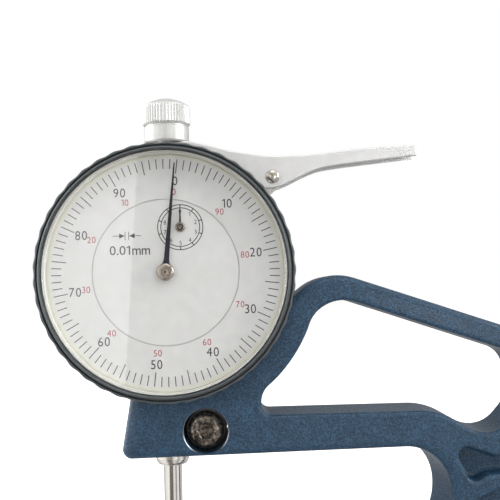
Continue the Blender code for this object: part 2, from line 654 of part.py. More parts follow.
def rack_outline():
    """Metal taken off the spindle's left side: a flat with the rack's tooth spaces in it."""
    tip = -(RACK_PITCH_LINE + TOOTH_ADDENDUM)
    root = -(RACK_PITCH_LINE - TOOTH_DEDENDUM)
    below = math.ceil((TRAVEL + RACK_MARGIN) / TOOTH_PITCH)
    above = math.ceil(RACK_MARGIN / TOOTH_PITCH)
    root_half = (1.0 - TOOTH_ROOT_SHARE) * TOOTH_PITCH / 2.0
    tip_half = (1.0 - TOOTH_TIP_SHARE) * TOOTH_PITCH / 2.0
    low = DRIVE_Y - below * TOOTH_PITCH
    high = DRIVE_Y + above * TOOTH_PITCH
    outside = -SPINDLE_RADIUS - OVERRUN
    outline = [(outside, high + TOOTH_PITCH / 2.0), (outside, low - TOOTH_PITCH / 2.0),
               (tip, low - TOOTH_PITCH / 2.0)]
    for space in range(-below, above + 1):
        middle = DRIVE_Y + space * TOOTH_PITCH
        outline += [(tip, middle - tip_half), (root, middle - root_half),
                    (root, middle + root_half), (tip, middle + tip_half)]
    outline.append((tip, high + TOOTH_PITCH / 2.0))
    return outline


def make_contact():
    stud_high = SPINDLE_END + CONTACT_STUD_LENGTH - FIT
    neck_high = CONTACT_HIGH + CONTACT_NECK_LENGTH
    profile = ((0.0, CONTACT_LOW), (CONTACT_RADIUS - ANVIL_CHAMFER, CONTACT_LOW),
               (CONTACT_RADIUS, CONTACT_LOW + ANVIL_CHAMFER), (CONTACT_RADIUS, CONTACT_HIGH - ANVIL_CHAMFER),
               (CONTACT_RADIUS - ANVIL_CHAMFER, CONTACT_HIGH), (CONTACT_NECK, CONTACT_HIGH),
               (CONTACT_NECK, neck_high), (CONTACT_STUD, neck_high), (CONTACT_STUD, stud_high),
               (0.0, stud_high))
    solid("contact_point", turned(profile), spindle_axis, look=CARBIDE)


def make_guide():
    """Pin that stops the spindle turning, and the slotted rail that it slides in."""
    pin = rod(GUIDE_PIN_RADIUS, GUIDE_PIN_ROOT, GUIDE_PIN_REACH)
    solid("guide_pin", pin, dial_axis, (0.0, -GUIDE_PIN_DROP, 0.0), STEEL, SIDEWAYS)
    slot = GUIDE_PIN_RADIUS + FIT
    near = SPRING_X + SPRING_COIL + SPRING_WIRE + FIT
    far = GUIDE_PIN_REACH + FIT
    front = REAR_PLATE - FIT
    back = -slot - GUIDE_WALL
    outline = ((near, -front), (far + GUIDE_WALL, -front), (far + GUIDE_WALL, -back), (near, -back),
               (near, slot), (far, slot), (far, -slot), (near, -slot))
    low = -GUIDE_PIN_DROP - (GUIDE_LENGTH - TRAVEL) / 2.0
    solid("guide_rail", prism(outline, low, low + GUIDE_LENGTH), spindle_axis, look=STEEL)


def make_knob():
    grip_low = KNOB_BASE + KNOB_GRIP_BASE
    grip_high = KNOB_BASE + KNOB_GRIP_TOP
    top = KNOB_BASE + KNOB_HEIGHT
    valley = KNOB_GRIP - KNOB_RIDGE
    profile = ((0.0, KNOB_BASE), (KNOB_SKIRT, KNOB_BASE), (KNOB_SKIRT, grip_low), (KNOB_GRIP, grip_low),
               (KNOB_GRIP, grip_high), (KNOB_CROWN, top), (0.0, top))
    bm = turned(profile, KNOB_RIDGES * 2)
    for vert in bm.verts:
        radius = math.hypot(vert.co.x, vert.co.y)
        angle = math.atan2(vert.co.y, vert.co.x)
        if radius > KNOB_SKIRT and round(angle / math.pi * KNOB_RIDGES) % 2:
            vert.co.xy *= valley / radius
    knob = solid("lift_knob", bm, spindle_axis, look=ALUMINIUM)
    cut(knob, solid("knob_bore", rod(SPINDLE_BORE, KNOB_BASE - OVERRUN, top - KNOB_CAP), spindle_axis))
    dimple = ((0.0, top - KNOB_DIMPLE_DEPTH), (KNOB_DIMPLE, top + OVERRUN), (0.0, top + OVERRUN))
    cut(knob, solid("knob_dimple", turned(dimple, PIN_STEPS), spindle_axis))


def make_stem():
    bore = SPINDLE_RADIUS + FIT
    seat = bore + BUSH_WALL + FIT
    seat_top = -STEM_END + BUSH_LENGTH + FIT
    collar_top = -CASE_RADIUS - FIT
    collar_low = collar_top - STEM_COLLAR_DEPTH
    profile = ((bore, -STEM_TOP), (STEM_RADIUS, -STEM_TOP), (STEM_RADIUS, collar_top),
               (STEM_COLLAR, collar_top), (STEM_COLLAR, collar_low), (STEM_RADIUS, collar_low),
               (STEM_RADIUS, -STEM_END + STEM_CHAMFER), (STEM_RADIUS - STEM_CHAMFER, -STEM_END),
               (seat, -STEM_END), (seat, seat_top), (bore, seat_top))
    solid("stem", turned(profile), spindle_axis, look=STEEL)
    outer = bore + BUSH_WALL
    low = -STEM_END + FIT
    high = seat_top - FIT
    profile = ((bore, low), (outer, low), (outer, high), (bore, high))
    solid("lower_spindle_bush", turned(profile), spindle_axis, look=BRASS)
    outer = bore + TOP_BUSH_WALL
    flange_low = CASE_RADIUS + FIT
    flange_high = flange_low + TOP_BUSH_FLANGE_DEPTH
    profile = ((bore, CASE_BORE), (outer, CASE_BORE), (outer, flange_low), (TOP_BUSH_FLANGE, flange_low),
               (TOP_BUSH_FLANGE, flange_high), (outer, flange_high), (outer, TOP_BUSH_HIGH),
               (bore, TOP_BUSH_HIGH))
    solid("upper_spindle_bush", turned(profile), spindle_axis, look=STEEL)


def make_case():
    ledge_top = REAR_PLATE - FIT
    ledge_low = ledge_top - PLATE_LEDGE_DEPTH
    groove_middle = CASE_FRONT - RING_GROOVE
    groove_low = groove_middle - RING_WIRE - FIT
    groove_high = groove_middle + RING_WIRE + FIT / 2.0
    groove_radius = LIP_RADIUS - RING_GROOVE
    back_bore = CASE_BORE - BACK_LEDGE
    profile = ((CASE_RADIUS, -CASE_BACK), (CASE_RADIUS, LIP_BACK), (LIP_RADIUS, LIP_BACK),
               (LIP_RADIUS, groove_low), (groove_radius, groove_low), (groove_radius, groove_high),
               (LIP_RADIUS, groove_high), (LIP_RADIUS, CASE_FRONT), (CASE_BORE, CASE_FRONT),
               (CASE_BORE, ledge_top), (CASE_BORE - PLATE_LEDGE, ledge_top),
               (CASE_BORE - PLATE_LEDGE, ledge_low), (CASE_BORE, ledge_low),
               (CASE_BORE, -CASE_BACK + BACK_LEDGE_DEPTH), (back_bore, -CASE_BACK + BACK_LEDGE_DEPTH),
               (back_bore, -CASE_BACK))
    case = solid("case_body", turned(profile, FINE_STEPS), dial_axis, look=ALUMINIUM)
    hole_start = CASE_BORE - PLATE_LEDGE - OVERRUN
    stem_hole = rod(STEM_RADIUS + FIT, -LIP_RADIUS - OVERRUN, -hole_start, ROUND_STEPS)
    cut(case, solid("stem_hole", stem_hole, spindle_axis))
    bush_radius = SPINDLE_BORE + TOP_BUSH_WALL + FIT
    bush_hole = rod(bush_radius, hole_start, LIP_RADIUS + OVERRUN, ROUND_STEPS)
    cut(case, solid("bush_hole", bush_hole, spindle_axis))
    for number in range(COVER_SCREWS):
        place = polar(COVER_SCREW_CIRCLE, cover_screw_angle(number))
        drill(case, f"cover_thread_{number + 1}", COVER_SCREW_RADIUS + FIT, -CASE_BACK - OVERRUN,
              -CASE_BACK + BACK_LEDGE_DEPTH + OVERRUN, place, SCREW_STEPS)
    for number, angle in enumerate(bracket_screw_angles()):
        hole = rod(BRACKET_SCREW_RADIUS + FIT, CASE_BORE - OVERRUN, CASE_RADIUS + OVERRUN, SCREW_STEPS)
        cut(case, solid(f"bracket_thread_{number + 1}", hole, dial_axis, turn=outward(angle)))
    ring_step = (FULL_TURN - RING_GAP_ANGLE) / RING_STEPS
    ring_start = QUARTER_TURN + RING_GAP_ANGLE / 2.0
    points = [(*polar(LIP_RADIUS, ring_start + step * ring_step), groove_middle)
              for step in range(RING_STEPS + 1)]
    make_wire("bezel_spring_ring", points, RING_WIRE, 0, SPRING_STEEL)


def outward(angle):
    """Rotation that lays a rod's axis along the dial's radius at an angle in degrees."""
    return (0.0, math.pi / 2.0, math.radians(angle))


def cover_screw_angle(number):
    return FULL_TURN * (number + 0.5) / COVER_SCREWS


def bracket_screw_angles():
    return (PIVOT_ANGLE - BRACKET_SCREW_SPAN, PIVOT_ANGLE + BRACKET_SCREW_SPAN)


def make_wire(name, points, radius, resolution, look, parent=None, place=(0.0, 0.0, 0.0)):
    """A round wire along a list of points, turned into a mesh so that its ends are capped flat."""
    curve = bpy.data.curves.new(name, "CURVE")
    curve.dimensions = "3D"
    curve.bevel_depth = radius
    curve.bevel_resolution = resolution
    curve.use_fill_caps = True
    spline = curve.splines.new("POLY")
    spline.points.add(len(points) - 1)
    for point, co in zip(spline.points, points):
        point.co = (*co, 1.0)
    obj = bpy.data.objects.new(name, curve)
    bpy.context.collection.objects.link(obj)
    obj.parent = parent or dial_axis
    obj.location = place
    finish(obj, look)
    return obj


def slotted_screw(name, head, head_low, head_high, shank, shank_end, place, look, turn=(0.0, 0.0, 0.0)):
    """Round-headed screw whose head lies between two heights, with a driver slot across it."""
    if head_high > head_low:
        profile = ((0.0, shank_end), (shank, shank_end), (shank, head_low), (head, head_low),
                   (head, head_high), (0.0, head_high))
        slot_low, slot_high = head_high - SLOT_DEPTH, head_high + OVERRUN
    else:
        profile = ((0.0, head_high), (head, head_high), (head, head_low), (shank, head_low),
                   (shank, shank_end), (0.0, shank_end))
        slot_low, slot_high = head_high - OVERRUN, head_high + SLOT_DEPTH
    screw = solid(name, turned(profile, SCREW_STEPS), dial_axis, place, look, turn)
    half = SLOT_WIDTH / 2.0
    wide = head + OVERRUN
    slot = prism(((-wide, -half), (wide, -half), (wide, half), (-wide, half)), slot_low, slot_high)
    cut(screw, solid(name + "_slot", slot, dial_axis, place, turn=turn))


def make_back_cover():
    front = -CASE_BACK - FIT
    back = front - COVER_DEPTH
    profile = ((0.0, back), (CASE_RADIUS - COVER_CHAMFER, back), (CASE_RADIUS, back + COVER_CHAMFER),
               (CASE_RADIUS, front), (0.0, front))
    cover = solid("back_cover", turned(profile, FINE_STEPS), dial_axis, look=ALUMINIUM)
    for number in range(COVER_SCREWS):
        place = polar(COVER_SCREW_CIRCLE, cover_screw_angle(number))
        drill(cover, f"cover_hole_{number + 1}", COVER_SCREW_RADIUS + FIT, back - OVERRUN, front + OVERRUN,
              place, SCREW_STEPS)
        head_low = back - FIT
        head_high = head_low - SCREW_HEAD_DEPTH
        slotted_screw(f"back_cover_screw_{number + 1}", COVER_SCREW_HEAD, head_low, head_high,
                      COVER_SCREW_RADIUS, head_low + COVER_SCREW_LENGTH, (*place, 0.0), STEEL)


def make_plates():
    radius = CASE_BORE - FIT
    rear = rod(radius, REAR_PLATE, REAR_PLATE_TOP, ROUND_STEPS)
    rear = solid("rear_plate", rear, dial_axis, look=BRASS)
    front = rod(radius, FRONT_PLATE, FRONT_PLATE_TOP, ROUND_STEPS)
    front = solid("front_plate", front, dial_axis, look=BRASS)
    rear_drill = (REAR_PLATE - OVERRUN, REAR_PLATE_TOP + OVERRUN)
    front_drill = (FRONT_PLATE - OVERRUN, FRONT_PLATE_TOP + OVERRUN)
    arbors = (("drive", (DRIVE_X, DRIVE_Y)), ("centre", (0.0, 0.0)), ("counter", (COUNTER_X, COUNTER_Y)))
    for name, place in arbors:
        drill(rear, name + "_rear_pivot", ARBOR_HOLE, *rear_drill, place)
        drill(front, name + "_front_pivot", ARBOR_HOLE, *front_drill, place)
    bore = PLATE_SCREW_RADIUS + FIT
    screw_end = FRONT_PLATE_TOP + FIT - PLATE_SCREW_LENGTH
    for number, angle in enumerate(PILLAR_ANGLES, 1):
        place = polar(PILLAR_CIRCLE, angle)
        drill(front, f"plate_screw_hole_{number}", bore, *front_drill, place, PIN_STEPS)
        low = REAR_PLATE_TOP + FIT
        high = FRONT_PLATE - FIT
        bore_low = screw_end - FIT
        profile = ((0.0, low), (PILLAR_RADIUS, low), (PILLAR_RADIUS, high), (bore, high), (bore, bore_low),
                   (0.0, bore_low))
        solid(f"plate_pillar_{number}", turned(profile, PIN_STEPS), dial_axis, (*place, 0.0), BRASS)
        head_low = FRONT_PLATE_TOP + FIT
        slotted_screw(f"plate_screw_{number}", PLATE_SCREW_HEAD, head_low, head_low + SCREW_HEAD_DEPTH,
                      PLATE_SCREW_RADIUS, screw_end, (*place, 0.0), STEEL)


def make_gears():
    to_centre = math.atan2(-DRIVE_Y, -DRIVE_X)
    tail = REAR_PLATE - ARBOR_TAIL
    nose = FRONT_PLATE_TOP
    bridge_back = -(SPINDLE_RADIUS + FIT) - BRIDGE_DEPTH
    teeth = gear_outline(RACK_TEETH_PER_TURN, pinion_tooth(RACK_PINION_PITCH), 0.0)
    pinion = prism(teeth, -RACK_PINION_HALF, RACK_PINION_HALF)
    add_arbor("rack_pinion", pinion, bridge_back, nose, (DRIVE_X, DRIVE_Y, 0.0), STEEL)
    middle = WHEEL_LEVEL + WHEEL_DEPTH / 2.0
    phase = to_centre + math.pi / CENTRE_TEETH
    teeth = gear_outline(CENTRE_TEETH, pinion_tooth(CENTRE_PITCH), phase)
    pinion = prism(teeth, middle - CENTRE_PINION_HALF, middle + CENTRE_PINION_HALF)
    hub_bore_top = CRYSTAL_LEVEL - FIT * 2.0
    add_arbor("centre_pinion", pinion, tail, hub_bore_top - FIT, (0.0, 0.0, 0.0), STEEL)
    high = DIAL_TOP + FIT + COUNTER_HUB_DEPTH
    solid("take_up_arbor", rod(ARBOR_RADIUS, tail, high), dial_axis, (COUNTER_X, COUNTER_Y, 0.0), STEEL)
    for name, place, angle in (("drive_gear", (DRIVE_X, DRIVE_Y), to_centre),
                               ("take_up_gear", (COUNTER_X, COUNTER_Y), math.atan2(-COUNTER_Y, -COUNTER_X))):
        teeth = gear_outline(WHEEL_TEETH, wheel_tooth(WHEEL_PITCH), angle)
        wheel = prism(teeth, WHEEL_LEVEL, WHEEL_LEVEL + WHEEL_DEPTH)
        wheel = solid(name, wheel, dial_axis, (*place, 0.0), BRASS)
        drill(wheel, name + "_bore", ARBOR_HOLE, WHEEL_LEVEL - OVERRUN, WHEEL_LEVEL + WHEEL_DEPTH + OVERRUN,
              place)


def make_bridge():
    """Cock for the rack pinion's rear pivot: an arm behind the spindle, on a foot at the rear plate."""
    arm_front = -(SPINDLE_RADIUS + FIT)
    arm_back = arm_front - BRIDGE_DEPTH
    foot_right = -BRIDGE_REACH + BRIDGE_FOOT
    foot_front = REAR_PLATE - FIT
    arm_right = DRIVE_X + BRIDGE_NOSE
    outline = ((-BRIDGE_REACH, -arm_back), (-BRIDGE_REACH, -foot_front), (foot_right, -foot_front),
               (foot_right, -arm_front), (arm_right, -arm_front), (arm_right, -arm_back))
    bridge = prism(outline, DRIVE_Y - BRIDGE_HALF, DRIVE_Y + BRIDGE_HALF)
    bridge = solid("pinion_bridge", bridge, spindle_axis, look=BRASS)
    drill(bridge, "bridge_pivot", ARBOR_HOLE, arm_back - OVERRUN, arm_front + OVERRUN, (DRIVE_X, DRIVE_Y))


def spiral_point(turns, offset):
    radius = ARBOR_HOLE + HAIRSPRING_BAND + turns * HAIRSPRING_PITCH + offset
    return polar(radius, FULL_TURN * turns)


def make_springs():
    steps = HAIRSPRING_TURNS * PIN_STEPS
    half = HAIRSPRING_BAND / 2.0
    inner = [spiral_point(HAIRSPRING_TURNS * step / steps, -half) for step in range(steps + 1)]
    outer = [spiral_point(HAIRSPRING_TURNS * step / steps, half) for step in range(steps + 1)]
    band = prism(inner + outer[::-1], HAIRSPRING_LEVEL, HAIRSPRING_LEVEL + HAIRSPRING_DEPTH)
    solid("hairspring", band, dial_axis, (COUNTER_X, COUNTER_Y, 0.0), SPRING_STEEL)
    end_x = spiral_point(HAIRSPRING_TURNS, half)[0] + FIT + STUD_RADIUS
    stud = rod(STUD_RADIUS, HAIRSPRING_LEVEL, FRONT_PLATE - FIT, SCREW_STEPS)
    solid("hairspring_stud", stud, dial_axis, (COUNTER_X + end_x, COUNTER_Y, 0.0), BRASS)
    low = -SPRING_LOW + SPRING_WIRE
    high = -GUIDE_PIN_DROP - GUIDE_PIN_RADIUS - FIT - SPRING_WIRE
    count = SPRING_TURNS * COIL_STEPS
    points = []
    for step in range(count + 1):
        x, y = polar(SPRING_COIL, FULL_TURN * SPRING_TURNS * step / count)
        points.append((x, y, low + (high - low) * step / count))
    make_wire("spindle_spring", points, SPRING_WIRE, 0, SPRING_STEEL, spindle_axis, (SPRING_X, 0.0, 0.0))
    post_y = -SPRING_LOW - FIT - SPRING_POST
    front = REAR_PLATE - FIT
    post = rod(SPRING_POST, front - SPRING_POST_LENGTH, front, PIN_STEPS)
    solid("spring_post", post, dial_axis, (SPRING_X, post_y, 0.0), STEEL)


def make_dial():
    plate = rod(DIAL_PLATE_RADIUS, DIAL_LEVEL, DIAL_TOP, FINE_STEPS)
    plate = solid("dial_plate", plate, dial_axis, look=DIAL_WHITE)
    for number, angle in enumerate((0.0, FULL_TURN / 2.0)):
        foot = rod(DIAL_FOOT, FRONT_PLATE_TOP + FIT, DIAL_TOP - DIAL_DEPTH / 2.0, PIN_STEPS)
        foot = solid(f"dial_foot_{number}", foot, dial_axis, (*polar(DIAL_FOOT_CIRCLE, angle), 0.0))
        modifier = plate.modifiers.new("foot", "BOOLEAN")
        modifier.operation = "UNION"
        modifier.solver = "EXACT"
        modifier.object = foot
    drill(plate, "centre_hole", ARBOR_HOLE, DIAL_LEVEL - OVERRUN, DIAL_TOP + OVERRUN)
    drill(plate, "counter_hole", ARBOR_HOLE, DIAL_LEVEL - OVERRUN, DIAL_TOP + OVERRUN, (COUNTER_X, COUNTER_Y))
    inner = DIAL_PLATE_RADIUS + FIT
    profile = ((inner, DIAL_LEVEL), (SCALE_RADIUS, DIAL_LEVEL), (SCALE_RADIUS, DIAL_TOP), (inner, DIAL_TOP))
    scale = solid("scale_ring", turned(profile, FINE_STEPS), dial_axis, look=DIAL_WHITE)
    scale.rotation_euler.z = -math.radians(SCALE_TURN)


def hand_outline(eye, length, waist, tip):
    """Eye and tapering blade of a hand that points up."""
    root_angle = math.degrees(math.acos(waist / eye))
    eye_arc = arc(eye, FULL_TURN / 2.0 - root_angle, FULL_TURN + root_angle)
    return eye_arc + [(tip, length), (-tip, length)]


def make_hands():
    low = DIAL_TOP + FIT
    flange_high = low + HAND_HUB_FLANGE_DEPTH
    cap_high = CRYSTAL_LEVEL - FIT
    cap_low = cap_high - HAND_HUB_CAP_DEPTH
    bore_high = cap_high - FIT
    profile = ((0.0, bore_high), (ARBOR_HOLE, bore_high), (ARBOR_HOLE, low), (HAND_HUB_FLANGE, low),
               (HAND_HUB_FLANGE, flange_high), (HAND_HUB_NECK, flange_high), (HAND_HUB_NECK, cap_low),
               (HAND_HUB, cap_low), (HAND_HUB, cap_high - HAND_HUB_CHAMFER),
               (HAND_HUB - HAND_HUB_CHAMFER, cap_high), (0.0, cap_high))
    solid("hand_hub", turned(profile, HUB_STEPS), dial_axis, look=CHROME)
    hand_high = cap_low - FIT
    hand_low = hand_high - HAND_DEPTH
    outline = hand_outline(HAND_EYE, HAND_LENGTH, HAND_WAIST, HAND_TIP)
    hand = solid("main_hand", prism(outline, hand_low, hand_high), dial_axis, look=HAND_BLUE)
    hand.rotation_euler.z = -math.radians(HAND_TURN)
    drill(hand, "hand_eye", HAND_HUB_NECK + FIT, hand_low - OVERRUN, hand_high + OVERRUN)
    place = (COUNTER_X, COUNTER_Y, 0.0)
    hub_high = low + COUNTER_HUB_DEPTH
    outline = hand_outline(COUNTER_HUB, COUNTER_LENGTH, COUNTER_WAIST, COUNTER_TIP)
    counter = solid("counter_hand", prism(outline, low, hub_high), dial_axis, place, HAND_BLUE)
    beyond = COUNTER_LENGTH + OVERRUN
    trim = ((-COUNTER_HUB, COUNTER_HUB), (COUNTER_HUB, COUNTER_HUB),
            (COUNTER_HUB, beyond), (-COUNTER_HUB, beyond))
    trim = prism(trim, low + COUNTER_BLADE, hub_high + OVERRUN)
    cut(counter, solid("counter_trim", trim, dial_axis, place))
    drill(counter, "counter_eye", ARBOR_HOLE, low - OVERRUN, hub_high + OVERRUN, place[:2])


def make_bezel():
    retainer_radius = BEZEL_BORE - FIT
    retainer_low = DIAL_TOP + FIT
    inner = retainer_radius - RETAINER_WALL
    profile = ((inner, retainer_low), (retainer_radius, retainer_low), (retainer_radius, RETAINER_TOP),
               (inner, RETAINER_TOP))
    solid("dial_retaining_ring", turned(profile, FINE_STEPS), dial_axis, look=CHROME)
    crystal_high = CRYSTAL_LEVEL + CRYSTAL_DEPTH
    profile = ((0.0, CRYSTAL_LEVEL), (retainer_radius, CRYSTAL_LEVEL),
               (retainer_radius, crystal_high - CRYSTAL_EDGE),
               (retainer_radius - CRYSTAL_EDGE, crystal_high), (0.0, crystal_high))
    solid("crystal", turned(profile, FINE_STEPS), dial_axis, look=CLEAR)
    face_radius = BEZEL_BORE + BEZEL_FACE
    band_inner = face_radius + BEZEL_STEP
    band_top = BEZEL_TOP - BEZEL_BAND_DROP
    profile = ((BEZEL_BORE, BEZEL_BACK), (BEZEL_RADIUS - BEZEL_EDGE, BEZEL_BACK),
               (BEZEL_RADIUS, BEZEL_BACK + BEZEL_EDGE), (BEZEL_RADIUS, band_top - BEZEL_EDGE),
               (BEZEL_RADIUS - BEZEL_EDGE, band_top), (band_inner, band_top), (face_radius, BEZEL_TOP),
               (BEZEL_BORE, BEZEL_TOP))
    bm = turned(profile, BEZEL_SCALLOPS * 2)
    for vert in bm.verts:
        radius = math.hypot(vert.co.x, vert.co.y)
        if radius > band_inner + BEZEL_SCALLOP_DEPTH / 2.0:
            wave = math.cos(math.atan2(vert.co.y, vert.co.x) * BEZEL_SCALLOPS)
            vert.co.xy *= (radius - BEZEL_SCALLOP_DEPTH * (1.0 - wave) / 2.0) / radius
    solid("bezel_ring", bm, dial_axis, look=BLACK_PLASTIC)


def lever_outline():
    """Top edge, low edge and the arc under the head, which is concentric with the case."""
    head_sweep = QUARTER_TURN - PIVOT_ANGLE
    head = [polar(LEVER_ARC + rise * LEVER_RISE, PIVOT_ANGLE + sweep * head_sweep)
            for sweep, rise in LEVER_HEAD_SHARES]
    arm = [(PIVOT_X + x * LEVER_ARM, PIVOT_Y + y * LEVER_RISE) for x, y in LEVER_TOP_SHARES]
    low = [(PIVOT_X + x * LEVER_ARM, PIVOT_Y + y * LEVER_RISE) for x, y in LEVER_LOW_SHARES]
    fork_angle = math.degrees(math.acos(-LEVER_FORK / LEVER_ARC))
    under = arc(LEVER_ARC, PIVOT_ANGLE + LEVER_ARC_LEAD, fork_angle)
    fork_top = (-LEVER_FORK, under[-1][1] + LEVER_FORK_DEPTH)
    return [fork_top] + head + arm, low, under


def make_lever():
    top, low, under = lever_outline()
    fork_end = (-LEVER_FORK, under[-1][1])
    lever = solid("lift_lever", prism(top + low + under + [fork_end], -LEVER_HALF, LEVER_HALF), dial_axis,
                  look=ALUMINIUM)
    inside = LEVER_HALF - LEVER_SHEET
    roof = [(x, y - LEVER_SHEET) for x, y in top if x > LEVER_WEB_START]
    start = (LEVER_WEB_START, roof[0][1])
    beyond = LEVER_REACH + OVERRUN
    above = LEVER_ARC + LEVER_RISE
    hollow = [(-LEVER_FORK - OVERRUN, 0.0), (-LEVER_FORK - OVERRUN, above), (LEVER_WEB_START, above), start]
    hollow += roof + [(beyond, roof[-1][1]), (beyond, 0.0)]
    cut(lever, solid("lever_hollow", prism(hollow, -inside, inside), dial_axis))
    drill(lever, "lever_pivot_hole", PIVOT_RADIUS + FIT, -LEVER_HALF - OVERRUN, LEVER_HALF + OVERRUN,
          (PIVOT_X, PIVOT_Y))
    head_low = LEVER_HALF + FIT
    dome = PIVOT_HEAD * DOME_RADIUS_SHARE
    shoulder = head_low + PIVOT_HEAD_DEPTH * DOME_DEPTH_SHARE
    profile = ((0.0, -head_low - PIVOT_HEAD_DEPTH), (dome, -shoulder),
               (PIVOT_HEAD, -head_low), (PIVOT_RADIUS, -head_low), (PIVOT_RADIUS, head_low),
               (PIVOT_HEAD, head_low), (dome, shoulder),
               (0.0, head_low + PIVOT_HEAD_DEPTH))
    solid("lever_pin", turned(profile, SHAFT_STEPS), dial_axis, (PIVOT_X, PIVOT_Y, 0.0), STEEL)


def make_bracket():
    pivot = (PIVOT_X, PIVOT_Y)
    low = CASE_RADIUS + FIT
    high = low + BRACKET_FOOT
    foot = arc(low, PIVOT_ANGLE - BRACKET_FOOT_SPAN, PIVOT_ANGLE + BRACKET_FOOT_SPAN)
    foot += arc(high, PIVOT_ANGLE + BRACKET_FOOT_SPAN, PIVOT_ANGLE - BRACKET_FOOT_SPAN)
    foot = prism(foot, -BRACKET_FOOT_HALF, BRACKET_FOOT_HALF)
    bracket = solid("lever_bracket", foot, dial_axis, look=STEEL)
    root = (low + high) / 2.0
    half_angle = math.degrees(math.asin(BRACKET_LUG / root))
    lug = [polar(root, PIVOT_ANGLE - half_angle),
           *arc(BRACKET_LUG, PIVOT_ANGLE - QUARTER_TURN, PIVOT_ANGLE + QUARTER_TURN, pivot),
           polar(root, PIVOT_ANGLE + half_angle)]
    lug_object = solid("bracket_lug", prism(lug, -BRACKET_LUG_HALF, BRACKET_LUG_HALF), dial_axis)
    modifier = bracket.modifiers.new("lug", "BOOLEAN")
    modifier.operation = "UNION"
    modifier.solver = "EXACT"
    modifier.object = lug_object
    across = BRACKET_LUG_HALF + OVERRUN
    drill(bracket, "bracket_pivot", PIVOT_RADIUS + FIT, -across, across, pivot)
    head_low = high + FIT
    for number, angle in enumerate(bracket_screw_angles(), 1):
        hole = rod(BRACKET_SCREW_RADIUS + FIT, low - OVERRUN, high + OVERRUN, SCREW_STEPS)
        cut(bracket, solid(f"bracket_hole_{number}", hole, dial_axis, turn=outward(angle)))
        slotted_screw(f"bracket_screw_{number}", BRACKET_SCREW_HEAD, head_low,
                      head_low + BRACKET_SCREW_HEAD_DEPTH, BRACKET_SCREW_RADIUS, CASE_BORE, (0.0, 0.0, 0.0),
                      STEEL, outward(angle))


clear_scene()
spindle_axis = empty("spindle_axis", (0.0, 0.0, DIAL_CENTRE))
dial_axis = empty("dial_axis", (0.0, 0.0, DIAL_CENTRE), (math.pi / 2.0, 0.0, 0.0))
make_frame()
make_clamp()
make_anvil()
make_spindle()
make_contact()
make_guide()
make_knob()
make_stem()
make_case()
make_back_cover()
make_plates()
make_gears()
make_bridge()
make_springs()
make_dial()
make_hands()
make_bezel()
make_lever()
make_bracket()
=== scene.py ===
"""Dial thickness gauge, dressed for its picture: finishes, fine surfaces and dial printing around the fixed frame."""
import math

import bmesh
import bpy
from mathutils import Matrix, Vector


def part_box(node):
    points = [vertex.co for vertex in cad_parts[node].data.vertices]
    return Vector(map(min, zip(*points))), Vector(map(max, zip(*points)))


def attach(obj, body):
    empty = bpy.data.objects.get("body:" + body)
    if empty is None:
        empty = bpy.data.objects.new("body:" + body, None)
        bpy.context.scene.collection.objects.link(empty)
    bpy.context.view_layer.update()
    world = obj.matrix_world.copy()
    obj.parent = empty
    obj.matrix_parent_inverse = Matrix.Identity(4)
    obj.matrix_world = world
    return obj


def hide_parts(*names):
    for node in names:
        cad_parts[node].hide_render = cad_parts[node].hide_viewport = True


bl_info = {
    "name": "Dial Thickness Gauge",
    "version": (1, 0, 0),
    "blender": (4, 5, 0),
    "location": "View3D > Sidebar > Gauge",
    "description": "Dresses a dial thickness gauge with its finishes, dial printing and a studio stage",
    "category": "Object",
}

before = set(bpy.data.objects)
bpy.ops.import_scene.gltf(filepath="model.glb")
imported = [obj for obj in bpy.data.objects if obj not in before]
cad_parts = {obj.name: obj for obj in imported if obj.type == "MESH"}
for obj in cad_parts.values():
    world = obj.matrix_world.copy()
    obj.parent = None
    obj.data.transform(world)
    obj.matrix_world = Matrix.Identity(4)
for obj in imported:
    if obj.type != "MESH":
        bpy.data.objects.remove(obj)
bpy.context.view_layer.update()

# Sizes are given in millimetres, and MM turns them into the scene's metres
MM = 0.001
FIT = 0.3
OVERRUN = 1.0
DIAL_HEIGHT = 80.0


def at(x=0.0, y=0.0, z=0.0):
    """Move by millimetres."""
    return Matrix.Translation((x * MM, y * MM, z * MM))


def spun(degrees, axis):
    return Matrix.Rotation(math.radians(degrees), 4, axis)


# Local axes: on the dial, x and y lie across it and z comes out of it; on the spindle, z runs up its axis
ON_SPINDLE = at(z=DIAL_HEIGHT)
ON_DIAL = ON_SPINDLE @ spun(90.0, "X")
UPRIGHT = spun(-90.0, "X")


def dial_box(node):
    """Lowest and highest corner of a CAD node, along the dial's own axes."""
    low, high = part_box(node)
    height = DIAL_HEIGHT * MM
    return (Vector((low.x, low.z - height, -high.y)) / MM, Vector((high.x, high.z - height, -low.y)) / MM)


def span(node, axis="z"):
    """Where a CAD node starts and ends along one of the dial's axes."""
    return [getattr(corner, axis) for corner in dial_box(node)]


# Sizes that the frame gives
FRAME_REACH = span("frame_casting", "x")[1]
FOOT = span("frame_casting", "y")[0]
FRAME_HALF = span("frame_casting")[1]
BEZEL_RADIUS = span("bezel_ring", "x")[1]
CASE_RADIUS = span("back_cover", "x")[1]
DIAL_RADIUS = span("dial_plate", "x")[1]
DIAL_TOP = span("dial_plate")[1]
SCALE_RADIUS = span("scale_ring", "x")[1]
PIVOT = sum(dial_box("lever_pin"), Vector()) / 2.0
PIVOT_ANGLE = math.degrees(math.atan2(PIVOT.y, PIVOT.x))
COUNTER = (sum(span("counter_hand", "x")) / 2.0, span("counter_hand", "y")[0] + 1.15)

